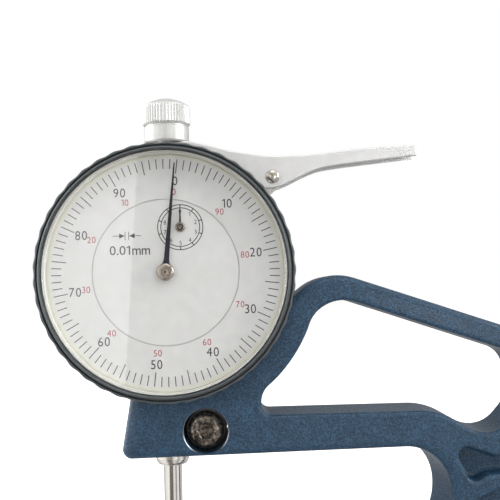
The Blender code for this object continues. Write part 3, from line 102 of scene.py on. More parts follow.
# Sizes as in the frame's solids
CASE_BORE = CASE_RADIUS - 1.6
SADDLE_RADIUS = CASE_RADIUS + 1.6
THROAT_Y = -SADDLE_RADIUS - 14.5
FLOOR_Y = THROAT_Y - 24.1
UNDERSIDE = THROAT_Y - 0.8
THROAT_DEPTH = 66.0
HEEL_DEPTH = FRAME_REACH - THROAT_DEPTH
CREST_X = SADDLE_RADIUS + 9.7
BAR_SLOPE = 0.345
BAR_RISE_SHARE = 0.75
BAR_HEIGHT = 5.7
WEB_HALF = 3.3
UPPER_WEB_SHARES = (
    (-0.004, 1.035), (0.146, 0.764), (0.265, 0.824), (0.484, 0.832), (0.775, 0.738), (0.825, 1.027),
    (0.581, 0.973), (0.349, 0.935))
LOWER_WEB_SHARES = (
    (0.193, 0.676), (0.343, 0.729), (0.531, 0.734), (0.812, 0.631), (0.765, 0.139), (-0.189, 0.111),
    (-0.189, 0.229), (0.080, 0.314))
TIP_X = -8.5
CLAMP_X = 8.4
CLAMP_Y = -SADDLE_RADIUS - 9.1
CLAMP_BORE = 5.2
CLAMP_PLACE = at(CLAMP_X, CLAMP_Y)
STEM_RADIUS = 4.0
SPINDLE_RADIUS = 2.2
STUD_RADIUS = 0.95
STUD_LENGTH = 4.4
SHANK_RADIUS = 3.0
ANVIL_DEPTH = 8.3
LOCK_RADIUS = 2.0
LOCK_PLACE = at(y=FOOT + 6.4) @ spun(90.0, "Y")
ARC_STEP = 5.0
EDGE_STEPS = 5
CURVE_STEPS = 4


def polar(radius, degrees, centre=(0.0, 0.0)):
    angle = math.radians(degrees)
    return (centre[0] + radius * math.cos(angle), centre[1] + radius * math.sin(angle))


def arc(radius, start, end, step=ARC_STEP):
    count = max(2, math.ceil(abs(end - start) / step))
    return [polar(radius, start + (end - start) * place / count) for place in range(count + 1)]


def rounded(corners):
    """Outline from (x, y, radius) corners, each rounded by an arc tangent to both of its sides."""
    outline = []
    for index, (x, y, radius) in enumerate(corners):
        corner = Vector((x, y))
        if radius <= 0.0:
            outline.append((x, y))
            continue
        before = (Vector(corners[index - 1][:2]) - corner).normalized()
        after = (Vector(corners[(index + 1) % len(corners)][:2]) - corner).normalized()
        half = before.angle(after) / 2.0
        middle = corner + (before + after).normalized() * (radius / math.sin(half))
        start = corner + before * (radius / math.tan(half)) - middle
        sweep = start.angle_signed(corner + after * (radius / math.tan(half)) - middle)
        count = max(2, math.ceil(abs(math.degrees(sweep)) / ARC_STEP))
        base = math.atan2(start.y, start.x)
        for step in range(count + 1):
            angle = base - sweep * step / count
            outline.append((middle.x + radius * math.cos(angle), middle.y + radius * math.sin(angle)))
    return outline


def smooth(points):
    """Curve through a run of points, bent evenly at each of them."""
    points = [Vector(point) for point in points]
    padded = [points[0] * 2.0 - points[1]] + points + [points[-1] * 2.0 - points[-2]]
    curve = []
    for one, two, three, four in zip(padded, padded[1:], padded[2:], padded[3:]):
        for step in range(CURVE_STEPS):
            t = step / CURVE_STEPS
            curve.append(tuple(0.5 * (2.0 * two + (three - one) * t
                                      + (2.0 * one - 5.0 * two + 4.0 * three - four) * t ** 2
                                      + (3.0 * two - one - 3.0 * three + four) * t ** 3)))
    curve.append(tuple(points[-1]))
    return curve


def grown(outline, amount, stretch=None):
    """The same outline with every side moved outwards by an amount, stretched across where asked."""
    if not amount:
        return [Vector(point) for point in outline]
    moved = []
    for index, point in enumerate(outline):
        here = Vector(point)
        before = (here - Vector(outline[index - 1])).normalized()
        after = (Vector(outline[(index + 1) % len(outline)]) - here).normalized()
        side = Vector((before.y, -before.x))
        middle = (side + Vector((after.y, -after.x))).normalized()
        move = middle * (amount / max(middle.dot(side), 0.3))
        if stretch:
            move.x *= stretch(here)
        moved.append(here + move)
    return moved


def lofted(outline, levels, stretch=None):
    """Closed form through copies of an outline, one for each (height, amount grown)."""
    area = sum(a[0] * b[1] - b[0] * a[1] for a, b in zip(outline, outline[1:] + outline[:1]))
    if area < 0.0:
        outline = outline[::-1]
    bm = bmesh.new()
    rings = [[bm.verts.new((point.x * MM, point.y * MM, height * MM)) for point in grown(outline, amount, stretch)]
             for height, amount in levels]
    for low, high in zip(rings, rings[1:]):
        for index in range(len(low)):
            bm.faces.new((low[index - 1], low[index], high[index], high[index - 1]))
    bm.faces.new(rings[0][::-1])
    bm.faces.new(rings[-1])
    return bm


def prism(outline, low, high):
    return lofted(outline, ((low, 0.0), (high, 0.0)))


def quarter(steps):
    """Angles from zero to a right angle."""
    return [math.pi / 2.0 * step / steps for step in range(steps + 1)]


def round_edge(radius, half, outward=False):
    """Levels from the middle of a plate to its face: a rounded edge, or the flare of a rounded hole."""
    side = 1.0 if outward else -1.0
    return [(half - radius + radius * math.sin(angle), side * radius * (1.0 - math.cos(angle)))
            for angle in quarter(EDGE_STEPS)]


def both_sides(levels):
    """The same levels on the back and on the front of the middle plane."""
    return [(-height, amount) for height, amount in levels[::-1]] + levels


def turned(profile, steps=96):
    """Revolve (radius, height) points about z; a profile that leaves the axis open is a closed ring."""
    bm = bmesh.new()
    rings = [[bm.verts.new((*polar(radius * MM, 360.0 * step / steps), height * MM))
              for step in range(steps if radius > 0.0 else 1)] for radius, height in profile]
    pairs = list(zip(rings, rings[1:]))
    if profile[0][0] > 0.0:
        pairs.append((rings[-1], rings[0]))
    for one, two in pairs:
        if len(one) == len(two) == 1:
            continue
        for step in range(steps):
            after = (step + 1) % steps
            corners = (one[step % len(one)], two[step % len(two)], two[after % len(two)], one[after % len(one)])
            bm.faces.new(tuple(dict.fromkeys(corners)))
    return bm


def eased(profile, amount, steps=3):
    """Profile with its corners rounded, all but its two ends where it starts and ends on the axis."""
    points = [Vector(point) for point in profile]
    ring = profile[0][0] > 0.0
    result = []
    for index, point in enumerate(points):
        if index in (0, len(points) - 1) and not ring:
            result.append(tuple(point))
            continue
        before = points[index - 1] - point
        after = points[(index + 1) % len(points)] - point
        reach = min(amount, before.length * 0.45, after.length * 0.45)
        start = point + before.normalized() * reach
        end = point + after.normalized() * reach
        for step in range(steps + 1):
            t = step / steps
            result.append(tuple(start * (1.0 - t) ** 2 + point * 2.0 * t * (1.0 - t) + end * t ** 2))
    return result


def sleeve(inner, outer, low, high):
    """Profile of a plain ring, or of a disc where its inner radius is zero."""
    return [(inner, low), (outer, low), (outer, high), (inner, high)]


def rod(radius, low, high, steps=64):
    return turned(sleeve(0.0, radius, low, high), steps)


def flared_rod(radius, low, high, flare):
    """Cutter for a hole between two faces, with its mouths eased."""
    return turned(((0.0, low - OVERRUN), (radius + flare, low - OVERRUN), (radius + flare, low),
                   (radius, low + flare), (radius, high - flare), (radius + flare, high),
                   (radius + flare, high + OVERRUN), (0.0, high + OVERRUN)))


def laid(bm, matrix):
    bmesh.ops.transform(bm, matrix=matrix, verts=bm.verts)
    return bm


def pressed(bm, depth):
    """Push a turned form's skin inwards, by a depth for each radius, height and angle."""
    for vert in bm.verts:
        radius = math.hypot(vert.co.x, vert.co.y) / MM
        if radius > 0.0:
            angle = math.atan2(vert.co.y, vert.co.x)
            vert.co.xy *= (radius - depth(radius, vert.co.z / MM, angle)) / radius
    return bm


def joined(parts):
    """One bmesh out of several."""
    whole = bmesh.new()
    for part in parts:
        mesh = bpy.data.meshes.new("part")
        part.to_mesh(mesh)
        part.free()
        whole.from_mesh(mesh)
        bpy.data.meshes.remove(mesh)
    return whole


def new_object(name, bm, place):
    bmesh.ops.recalc_face_normals(bm, faces=bm.faces)
    mesh = bpy.data.meshes.new(name)
    bm.to_mesh(mesh)
    bm.free()
    obj = bpy.data.objects.new(name, mesh)
    bpy.context.scene.collection.objects.link(obj)
    obj.matrix_world = place
    return obj


def carve(obj, cutters):
    """Cut forms out of an object, one after another, and keep the result as its mesh."""
    for index, bm in enumerate(cutters):
        cutter = new_object(f"{obj.name}_cutter_{index}", bm, obj.matrix_world)
        modifier = obj.modifiers.new("cut", "BOOLEAN")
        modifier.operation = "DIFFERENCE"
        modifier.solver = "EXACT"
        modifier.object = cutter
        bpy.context.view_layer.update()
        depsgraph = bpy.context.evaluated_depsgraph_get()
        mesh = bpy.data.meshes.new_from_object(obj.evaluated_get(depsgraph))
        obj.modifiers.clear()
        obj.data = mesh
        bpy.data.objects.remove(cutter, do_unlink=True)
    if not obj.data.polygons:
        raise RuntimeError(f"{obj.name} came out empty")


def make(name, bm, body, look, nodes=(), place=ON_DIAL, cutters=(), angle=32.0):
    """A finished piece: shaped, cut, shaded, coloured and riding on its body."""
    obj = new_object(name, bm, place)
    carve(obj, cutters)
    obj.data.shade_smooth()
    obj.data.set_sharp_from_angle(angle=math.radians(angle))
    flats = obj.modifiers.new("flats", "WEIGHTED_NORMAL")
    flats.keep_sharp = True
    obj.data.materials.clear()
    obj.data.materials.append(look)
    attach(obj, body)
    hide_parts(*nodes)
    return obj


def inlay(obj, look, chosen):
    """Give a second look to the faces that a test of their centre and normal picks."""
    obj.data.materials.append(look)
    for face in obj.data.polygons:
        if chosen(face.center / MM, face.normal):
            face.material_index = 1


def node(material, kind, values=None, **settings):
    """Add a shader node; a socket among its values is linked, and anything else is set."""
    made = material.node_tree.nodes.new(kind)
    for setting, value in settings.items():
        setattr(made, setting, value)
    for socket, value in (values or {}).items():
        if isinstance(value, bpy.types.NodeSocket):
            material.node_tree.links.new(value, made.inputs[socket])
        else:
            made.inputs[socket].default_value = value
    return made.outputs


def plain(name, **values):
    """Material with a Principled shader, whose even values are set on its sockets."""
    material = bpy.data.materials.get(name)
    if material:
        return material, None
    material = bpy.data.materials.new(name)
    material.use_nodes = True
    shader = material.node_tree.nodes["Principled BSDF"]
    for socket, value in values.items():
        shader.inputs[socket.replace("_", " ")].default_value = value
    return material, shader


def link(material, shader, **outputs):
    for socket, output in outputs.items():
        material.node_tree.links.new(output, shader.inputs[socket.replace("_", " ")])


def maths(material, operation, *values):
    return node(material, "ShaderNodeMath", dict(enumerate(values)), operation=operation)[0]


def place_on(material):
    return node(material, "ShaderNodeTexCoord")["Object"]


def grain(material, size, detail=3.0):
    """Noise with lumps of a given size, on the object's own coordinates."""
    values = {"Vector": place_on(material), "Scale": 1.0 / (size * MM), "Detail": detail}
    return node(material, "ShaderNodeTexNoise", values)["Fac"]


def lathe_lines(material, pitch):
    """Noise that runs in rings round the object's z axis, as a lathe leaves it."""
    place = place_on(material)
    flat = node(material, "ShaderNodeVectorMath", {0: place, 1: (1.0, 1.0, 0.0)}, operation="MULTIPLY")[0]
    radius = node(material, "ShaderNodeVectorMath", {0: flat}, operation="LENGTH")["Value"]
    run = maths(material, "ADD", radius, node(material, "ShaderNodeSeparateXYZ", {0: place})["Z"])
    values = {"W": maths(material, "MULTIPLY", run, 1.0 / (pitch * MM)), "Scale": 1.0, "Detail": 3.0}
    return node(material, "ShaderNodeTexNoise", values, noise_dimensions="1D")["Fac"]


def ramp(material, factor, *stops):
    """Colour ramp through (position, colour) stops."""
    outputs = node(material, "ShaderNodeValToRGB", {0: factor})
    band = outputs[0].node.color_ramp
    while len(band.elements) < len(stops):
        band.elements.new(1.0)
    for element, (position, colour) in zip(band.elements, stops):
        element.position = position
        element.color = (*colour, 1.0)
    return outputs["Color"]


def levels(material, factor, low, high):
    """Spread a factor between two values."""
    return node(material, "ShaderNodeMapRange", {"Value": factor, "From Min": 0.3, "From Max": 0.7,
                                                 "To Min": low, "To Max": high})["Result"]


def bump(material, height, strength, distance, under=None):
    values = {"Height": height, "Strength": strength, "Distance": distance * MM}
    if under:
        values["Normal"] = under
    return node(material, "ShaderNodeBump", values)["Normal"]


def shade(colour, factor):
    return tuple(channel * factor for channel in colour)


def enamel(colour, size):
    """Hammered enamel: fine lumps that catch the light, in one colour that wanders a little."""
    material, shader = plain("hammered_enamel", Specular_IOR_Level=0.22, Coat_Weight=0.16, Coat_Roughness=0.2)
    if shader:
        fine = grain(material, size)
        coarse = grain(material, size * 12.0, 2.0)
        blend = maths(material, "MULTIPLY_ADD", coarse, 0.15, maths(material, "MULTIPLY", fine, 0.85))
        tones = ((0.38, shade(colour, 0.58)), (0.5, colour), (0.62, shade(colour, 1.65)))
        lumps = bump(material, fine, 1.0, size * 0.5)
        link(material, shader, Base_Color=ramp(material, blend, *tones), Roughness=levels(material, fine, 0.5, 0.3),
             Normal=bump(material, coarse, 0.25, size * 0.6, lumps))
    return material


def surface(name, colour, shine, marks, mottle, relief, values):
    """Look with two shades of one colour, a roughness that varies and fine relief."""
    material, shader = plain(name, **values)
    if shader:
        skin = marks(material)
        patches = grain(material, mottle[0], 2.0)
        tones = ((0.3, shade(colour, mottle[1])), (0.7, colour))
        link(material, shader, Base_Color=ramp(material, patches, *tones),
             Roughness=levels(material, skin, *shine), Normal=bump(material, skin, *relief))
    return material


def metal(name, colour, roughness, size, strength, lathe=False, spread=0.08, metallic=1.0):
    """Bare or plated metal with its tool marks: even grain, or rings from the lathe."""
    marks = lathe_lines if lathe else grain
    return surface(name, colour, (roughness - spread, roughness + spread), lambda material: marks(material, size),
                   (3.0, 0.93), (strength, size * 0.12), {"Metallic": metallic})


def coating(name, colour, roughness, size, strength, **values):
    """Paint, plastic or ink: an even coat with a fine skin."""
    return surface(name, colour, (roughness - 0.05, roughness + 0.05), lambda material: grain(material, size),
                   (size * 20.0, 0.94), (strength, size * 0.1), values)


def colour_setting(name, description, default):
    return bpy.props.FloatVectorProperty(name=name, description=description, default=default, size=3,
                                         subtype="COLOR", min=0.0, max=1.0)


def length_setting(name, description, default):
    return bpy.props.FloatProperty(name=name, description=description, default=default * MM, unit="LENGTH")


def angle_setting(name, description, default):
    return bpy.props.FloatProperty(name=name, description=description, default=default, unit="ROTATION")


class StageSettings(bpy.types.PropertyGroup):
    camera_place: bpy.props.FloatVectorProperty(
        name="Camera place", description="Where the camera stands, measured from the dial's centre",
        default=(15.04 * MM, -196.21 * MM, -5.03 * MM), size=3, unit="LENGTH")
    camera_yaw: angle_setting("Camera yaw", "Turn of the view towards the heel", 0.0246)
    camera_pitch: angle_setting("Camera pitch", "Upward tilt of the view", 0.0523)
    camera_roll: angle_setting("Camera roll", "Turn of the camera about its line of sight", -0.0242)
    camera_lens: bpy.props.FloatProperty(
        name="Lens", description="Focal length on a 36 mm sensor, in millimetres", default=57.6)
    sky_level: bpy.props.FloatProperty(
        name="Room light", description="Even light from the whole room", default=0.6, min=0.0)
    box_level: bpy.props.FloatProperty(
        name="Softbox light", description="Brightness of the softboxes' cloth", default=2.4, min=0.0)


class CastingSettings(bpy.types.PropertyGroup):
    paint: colour_setting("Enamel", "Colour of the hammered enamel", (0.013, 0.036, 0.066))
    grain: length_setting("Enamel grain", "Size of the enamel's lumps", 0.36)
    edge: length_setting("Edge radius", "Rounding of the casting's outer edges", 1.8)
    rim: length_setting("Rim radius", "Rounding of the rims round the pockets and the loop", 0.9)


class DialSettings(bpy.types.PropertyGroup):
    plate: colour_setting("Dial paint", "Colour of the fixed plate and the scale", (0.78, 0.78, 0.77))
    ink: colour_setting("Black ink", "Colour of the scale's lines and numbers", (0.02, 0.024, 0.025))
    red_ink: colour_setting("Red ink", "Colour of the numbers that count the other way", (0.45, 0.06, 0.075))
    margin: colour_setting("Margin band", "Colour of the band outside the scale's lines", (0.8, 0.8, 0.7))
    turn: angle_setting("Scale turn", "How far the scale's zero stands clockwise of the top", math.radians(6.7))
    number_height: length_setting("Number height", "Height of the black numbers", 2.1)
    ink_depth: length_setting("Ink depth", "How far the print stands up", 0.02)


class MetalSettings(bpy.types.PropertyGroup):
    aluminium: colour_setting("Aluminium", "Colour of the lever's aluminium, before its tarnish", (0.83, 0.83, 0.82))
    steel: colour_setting("Steel", "Colour of the ground and turned steel", (0.72, 0.69, 0.65))
    brass: colour_setting("Brass", "Colour of the movement's brass", (0.78, 0.58, 0.27))
    black: colour_setting("Bezel black", "Colour of the bezel", (0.03, 0.038, 0.042))


def steel_look(context):
    return metal("turned_steel", context.scene.gauge_metal.steel, 0.26, 0.25, 0.08, lathe=True)


def ground_look(context):
    return metal("polished_steel", context.scene.gauge_metal.steel, 0.14, 0.3, 0.03, lathe=True, spread=0.03)


def brass_look(context):
    return metal("movement_brass", context.scene.gauge_metal.brass, 0.3, 0.15, 0.2)


def crossing(start, end, radius):
    """Where the line through two points meets a circle round the dial's centre, next to those points."""
    start = Vector(start)
    run = Vector(end) - start
    a = run.dot(run)
    b = 2.0 * start.dot(run)
    c = start.dot(start) - radius ** 2
    root = math.sqrt(b * b - 4.0 * a * c)
    return start + run * min((-b - root) / (2.0 * a), (-b + root) / (2.0 * a), key=lambda share: abs(share - 0.5))


def casting_outline():
    """Outer edge of the casting, from the boss over the saddle and the loop to the heel and the throat."""
    boss = (-11.6, UNDERSIDE)
    left = crossing(boss, (-8.7, -SADDLE_RADIUS + 1.6), SADDLE_RADIUS)
    crest_left = SADDLE_RADIUS * BAR_RISE_SHARE
    right = crossing((crest_left, (crest_left - CREST_X) * BAR_RISE_SHARE), (CREST_X, 0.0), SADDLE_RADIUS)
    start = math.degrees(math.atan2(left.y, left.x)) + 6.0
    end = math.degrees(math.atan2(right.y, right.x)) - 5.0
    saddle = [(x, y, 0.0) for x, y in arc(SADDLE_RADIUS, start, end, step=3.0)]
    return rounded([
        (*boss, 2.2), (*left, 1.2), *saddle, (*right, 1.5),
        (CREST_X, 0.0, 13.0),
        (FRAME_REACH, (CREST_X - FRAME_REACH) * BAR_SLOPE, 22.0),
        (FRAME_REACH, FOOT, 20.0),
        (TIP_X, FOOT, 2.0),
        (TIP_X, FLOOR_Y, 3.0),
        (THROAT_DEPTH, FLOOR_Y, 13.2),
        (THROAT_DEPTH, UNDERSIDE + 1.2, 10.5)])


def throat_share(point):
    """How far a point of the outline belongs to the throat's end wall, from 0 to 1."""
    if not FLOOR_Y - 1.0 < point.y < UNDERSIDE + 2.0:
        return 0.0
    return min(1.0, max(0.0, (point.x - THROAT_DEPTH) / 14.0 + 1.0))


def edge_ease(point):
    """The boss's left edge and the throat's end are rounded over a wider strip than the rest."""
    boss = min(1.0, max(0.0, (-7.0 - point.x) / 3.0))
    return 1.0 + 1.3 * boss + 0.7 * throat_share(point)


def draft(bm):
    """Slope the throat's end wall, as the mould leaves it: it stands further in at the back."""
    for vert in bm.verts:
        point = vert.co / MM
        if point.x < FRAME_REACH - HEEL_DEPTH / 2.0:
            vert.co.x -= 1.9 * MM * throat_share(point) * (FRAME_HALF - point.z) / (2.0 * FRAME_HALF)
    return bm


def loop_outline():
    """Thumb loop: concentric with the dial on its left, parallel to the sloping bar on top."""
    loop_radius = SADDLE_RADIUS + 7.7
    lag = 2.5
    loop_right = FRAME_REACH - 13.7
    end_high = (CREST_X - loop_right) * BAR_SLOPE - BAR_HEIGHT
    lower = THROAT_Y + 8.7
    lowest = polar(loop_radius, -53.0)
    left = [(x, y, 0.0) for x, y in arc(loop_radius, -46.0, -23.0, step=3.0)]
    return rounded([(*lowest, 5.0)] + left + [
        (*polar(loop_radius, -17.0), 8.0),
        (CREST_X + lag, -lag * BAR_SLOPE - BAR_HEIGHT, 9.0),
        (loop_right, end_high, 6.0),
        (loop_right, end_high - 12.23, 6.0),
        (THROAT_DEPTH + 10.0, THROAT_Y + 1.0, 8.0),
        (THROAT_DEPTH - 3.1, lower, 16.0),
        (lowest[0], lower, 2.4)])


def web_outline(shares):
    height = THROAT_Y - FOOT
    return rounded([(THROAT_DEPTH + x * HEEL_DEPTH, FOOT + y * height, 2.0) for x, y in shares])


class GAUGE_OT_casting(bpy.types.Operator):
    """Cast the frame with its rounded edges, thumb loop, web pockets and bores, in hammered enamel"""
    bl_idname = "gauge.casting"
    bl_label = "Frame casting"

    def execute(self, context):
        settings = context.scene.gauge_casting
        edge = round_edge(settings.edge / MM, FRAME_HALF)
        body = draft(lofted(casting_outline(), both_sides([(0.0, 0.0)] + edge)[1:], edge_ease))
        rim = round_edge(settings.rim / MM, FRAME_HALF, outward=True) + [(FRAME_HALF + OVERRUN, settings.rim / MM)]
        cutters = [lofted(loop_outline(), both_sides(rim))]
        fillet = 1.2
        pocket = [(WEB_HALF + fillet * (1.0 - math.cos(angle)), -fillet * (1.0 - math.sin(angle)))
                  for angle in quarter(EDGE_STEPS)] + rim
        for shares in (UPPER_WEB_SHARES, LOWER_WEB_SHARES):
            cutters.append(lofted(web_outline(shares), pocket))
            cutters.append(lofted(web_outline(shares), [(-height, grow) for height, grow in pocket[::-1]]))
        stem_bore = flared_rod(STEM_RADIUS + FIT, UNDERSIDE, -SADDLE_RADIUS + OVERRUN, 0.3)
        anvil_bore = rod(SHANK_RADIUS + FIT, FLOOR_Y - ANVIL_DEPTH - FIT, FLOOR_Y + OVERRUN)
        cutters.append(laid(flared_rod(CLAMP_BORE, -FRAME_HALF, FRAME_HALF, 0.2), CLAMP_PLACE))
        cutters.append(laid(stem_bore, UPRIGHT))
        cutters.append(laid(anvil_bore, UPRIGHT))
        cutters.append(laid(rod(LOCK_RADIUS + FIT, TIP_X - OVERRUN, -SHANK_RADIUS), LOCK_PLACE))
        look = enamel(settings.paint, settings.grain / MM)
        casting = make("frame_body", body, "gauge_body", look, ["frame_casting"], cutters=cutters)
        inlay(casting, metal("machined_rim", (0.22, 0.24, 0.26), 0.34, 0.15, 0.2), lambda centre, normal:
              math.hypot(centre.x - CLAMP_X, centre.y - CLAMP_Y) < CLAMP_BORE + 0.3 and abs(normal.z) > 0.3)
        return {"FINISHED"}


def hexagon(width):
    """Outline of a key's socket, by its width across the flats."""
    return [polar(width / math.sqrt(3.0), 60.0 * corner) for corner in range(6)]


class GAUGE_OT_clamp(bpy.types.Operator):
    """Set the clamp screw and its two bushes in the cross bore"""
    bl_idname = "gauge.clamp"
    bl_label = "Clamp screw and bushes"

    def execute(self, context):
        place = ON_DIAL @ CLAMP_PLACE
        # The bushes are coloured near black as painted shade, for the deep, shaded bore round the clamp screw
        dark = metal("oiled_bush_steel", (0.09, 0.09, 0.095), 0.42, 0.07, 0.3, lathe=True)
        shank = 2.2
        end = -7.2
        bore = shank + FIT
        outer = CLAMP_BORE - FIT
        for name, low, high in (("front", 0.4, 3.5), ("rear", end, -0.4)):
            seat = rod(STEM_RADIUS + FIT, CLAMP_Y - outer * 1.5, CLAMP_Y + outer * 1.5, 96)
            make(f"clamp_{name}_bush", turned(eased(sleeve(bore, outer, low, high), 0.3)), "gauge_body",
                 dark, [f"clamp_bush_{name}"], place, [laid(seat, at(-CLAMP_X, -CLAMP_Y) @ UPRIGHT)])
        low = 3.5 + FIT
        high = low + 3.2
        head = 4.25
        flat = 2.3
        shoulder = [(flat + (head - flat) * math.sin(angle), high - 1.6 * (1.0 - math.cos(angle)))
                    for angle in quarter(6)]
        profile = [(0.0, end), (shank - 0.2, end), (shank, end + 0.2), (shank, low), (head - 0.2, low),
                   (head, low + 0.2)] + shoulder[::-1] + [(0.0, high)]
        grooves = 72
        screw = pressed(turned(profile, 2 * grooves), lambda radius, height, angle:
                        0.12 if radius > head - 0.05 and round(angle / math.pi * grooves) % 2 else 0.0)
        socket = lofted(hexagon(3.4), ((high - 2.2, 0.0), (high - 0.2, 0.0), (high + 0.2, 0.4)))
        tip = turned(((0.0, high - 3.0), (1.6, high - 2.15), (0.0, high - 2.15)), 48)
        oxide, shader = plain("screw_oxide", Metallic=0.85)
        if shader:
            skin = grain(oxide, 0.8, 5.0)
            tones = ((0.36, (0.02, 0.018, 0.016)), (0.5, (0.09, 0.077, 0.065)), (0.66, (0.28, 0.235, 0.195)))
            link(oxide, shader, Base_Color=ramp(oxide, skin, *tones), Roughness=levels(oxide, skin, 0.38, 0.24),
                 Normal=bump(oxide, grain(oxide, 0.12), 0.3, 0.02))
        make("clamp_cap_screw", screw, "gauge_body", oxide, ["clamp_screw"], place, [socket, tip])
        return {"FINISHED"}


class GAUGE_OT_anvil(bpy.types.Operator):
    """Fit the lower anvil, its lock screw and the contact point on the spindle"""
    bl_idname = "gauge.anvil"
    bl_label = "Anvil and contact point"

    def execute(self, context):
        low = FLOOR_Y - ANVIL_DEPTH
        seat = FLOOR_Y + FIT
        top = seat + 4.1
        wide = 5.0
        profile = ((0.0, low), (SHANK_RADIUS - 0.35, low), (SHANK_RADIUS, low + 0.35), (SHANK_RADIUS, seat),
                   (wide, seat), (wide, top - 0.5), (wide - 0.5, top), (0.0, top))
        make("lower_anvil", turned(eased(profile, 0.12)), "gauge_body",
             ground_look(context), ["anvil"], ON_SPINDLE)
        low = top + FIT
        high = low + 2.8
        neck = high + 0.9
        stud = neck + STUD_LENGTH
        profile = ((0.0, low), (wide - 0.5, low), (wide, low + 0.5), (wide, high - 0.5), (wide - 0.5, high),
                   (1.6, high), (1.6, neck), (STUD_RADIUS, neck), (STUD_RADIUS, stud), (0.0, stud))
        carbide = metal("lapped_carbide", (0.42, 0.42, 0.44), 0.2, 0.04, 0.12, lathe=True, spread=0.05)
        make("contact", turned(eased(profile, 0.12)), "spindle_set", carbide,
             ["contact_point"], ON_SPINDLE)
        inner = -SHANK_RADIUS - FIT
        outer = inner - 4.2
        screw = turned(eased(sleeve(0.0, LOCK_RADIUS, outer, inner), 0.3), 48)
        socket = lofted(hexagon(2.0), ((outer - OVERRUN, 0.1), (outer + 0.1, 0.0), (outer + 1.6, 0.0)))
        look = metal("blackened_screw", (0.07, 0.068, 0.066), 0.38, 0.1, 0.2)
        make("anvil_grub_screw", screw, "gauge_body", look, ["anvil_lock_screw"],
             ON_DIAL @ LOCK_PLACE, [socket])
        return {"FINISHED"}


def rack_outline():
    """Metal taken off the spindle's left side: a flat with the rack's tooth spaces in it."""
    pitch = 10.0 / 16
    line = 1.95
    tip, root = -(line + 0.12), -(line - 0.25)
    drive_y = sum(span("rack_pinion", "y")) / 2.0
    outside = -SPINDLE_RADIUS - OVERRUN
    low, high = drive_y - 20.5 * pitch, drive_y + 4.5 * pitch
    outline = [(outside, high), (outside, low), (tip, low)]
    for space in range(-20, 5):
        middle = drive_y + space * pitch
        outline += [(tip, middle - 0.4 * pitch), (root, middle - 0.21 * pitch),
                    (root, middle + 0.21 * pitch), (tip, middle + 0.4 * pitch)]
    return outline + [(tip, high)]


class GAUGE_OT_spindle(bpy.types.Operator):
    """Grind the spindle, its stem and its two bushes"""
    bl_idname = "gauge.spindle"
    bl_label = "Spindle and stem"

    def execute(self, context):
        low, high = span("spindle", "y")
        radius = SPINDLE_RADIUS
        past = radius + OVERRUN
        profile = ((0.0, low), (radius - 0.3, low), (radius, low + 0.3), (radius, high - 0.3),
                   (radius - 0.3, high), (0.0, high))
        cutters = [rod(STUD_RADIUS + FIT, low - OVERRUN, low + STUD_LENGTH, 32),
                   laid(prism(rack_outline(), -past, past), spun(90.0, "X")),
                   laid(rod(0.7 + FIT, -0.1, past, 32), at(z=-4.0) @ spun(90.0, "Y"))]
        make("spindle_rod", turned(eased(profile, 0.1)), "spindle_set",
             ground_look(context), ["spindle"], ON_SPINDLE, cutters)
        bore = radius + FIT
        seat = bore + 0.55 + FIT
        end = THROAT_Y - 3.2
        seat_top = end + 9.6 + FIT
        collar_top = -CASE_RADIUS - FIT
        collar_low = collar_top - 0.7
        collar = STEM_RADIUS + 0.9
        profile = ((bore, -CASE_BORE), (STEM_RADIUS, -CASE_BORE), (STEM_RADIUS, collar_top), (collar, collar_top),
                   (collar, collar_low), (STEM_RADIUS, collar_low), (STEM_RADIUS, end + 1.3),
                   (STEM_RADIUS - 0.25, end + 0.55), (STEM_RADIUS - 0.75, end), (seat, end), (seat, seat_top),
                   (bore, seat_top))
        make("stem_tube", turned(eased(profile, 0.15)), "gauge_body", steel_look(context),
             ["stem"], ON_SPINDLE)
        profile = sleeve(bore, bore + 0.55, end + FIT, seat_top - FIT)
        make("lower_bush", turned(eased(profile, 0.1)), "gauge_body", brass_look(context),
             ["lower_spindle_bush"], ON_SPINDLE)
        outer = bore + 0.7
        flange = 4.3
        low = CASE_RADIUS + FIT
        high = low + 0.7
        top = CASE_RADIUS + 2.3
        profile = ((bore, CASE_BORE), (outer, CASE_BORE), (outer, low), (flange, low), (flange, high),
                   (outer, high), (outer, top), (bore, top))
        make("upper_bush", turned(eased(profile, 0.12)), "gauge_body", steel_look(context),
             ["upper_spindle_bush"], ON_SPINDLE)
        return {"FINISHED"}


class GAUGE_OT_knob(bpy.types.Operator):
    """Turn and knurl the lifting knob"""
    bl_idname = "gauge.knob"
    bl_label = "Lifting knob"

    def execute(self, context):
        low, high = span("lift_knob", "y")
        skirt = 5.5
        grip = 5.85
        grip_low = low + 4.0
        grip_high = low + 8.3
        base = low - 0.5
        profile = ((0.0, base), (skirt - 0.35, base), (skirt, base + 0.35), (skirt, grip_low - 0.75),
                   (skirt - 0.35, grip_low - 0.55), (skirt - 0.35, grip_low - 0.3),
                   (grip - 0.25, grip_low - 0.05), (grip, grip_low + 0.25), (grip, grip_high - 0.2),
                   (grip - 0.12, grip_high + 0.1), (5.5, high - 1.8), (4.9, high - 1.4), (4.0, high - 0.95),
                   (2.6, high - 0.4), (1.2, high - 0.08), (0.0, high))
        ridges = 50
        knob = pressed(turned(profile, 6 * ridges), lambda radius, height, angle:
                       0.09 * (1.0 - math.cos(angle * ridges))
                       if radius > grip - 0.3 and height > grip_low - 0.2 else 0.0)
        bore = rod(SPINDLE_RADIUS + FIT, base - OVERRUN, high - 2.2)
        dimple = turned(((0.0, high - 0.5), (0.4, high - 0.45), (1.0, high - 0.1), (1.2, high + OVERRUN),
                         (0.0, high + OVERRUN)), 48)
        satin = metal("knob_aluminium", (0.5, 0.5, 0.487), 0.42, 0.25, 0.06, lathe=True, metallic=0.55)
        make("knurled_knob", knob, "spindle_set", satin, ["lift_knob"],
             ON_SPINDLE, [bore, dimple], 25.0)
        return {"FINISHED"}


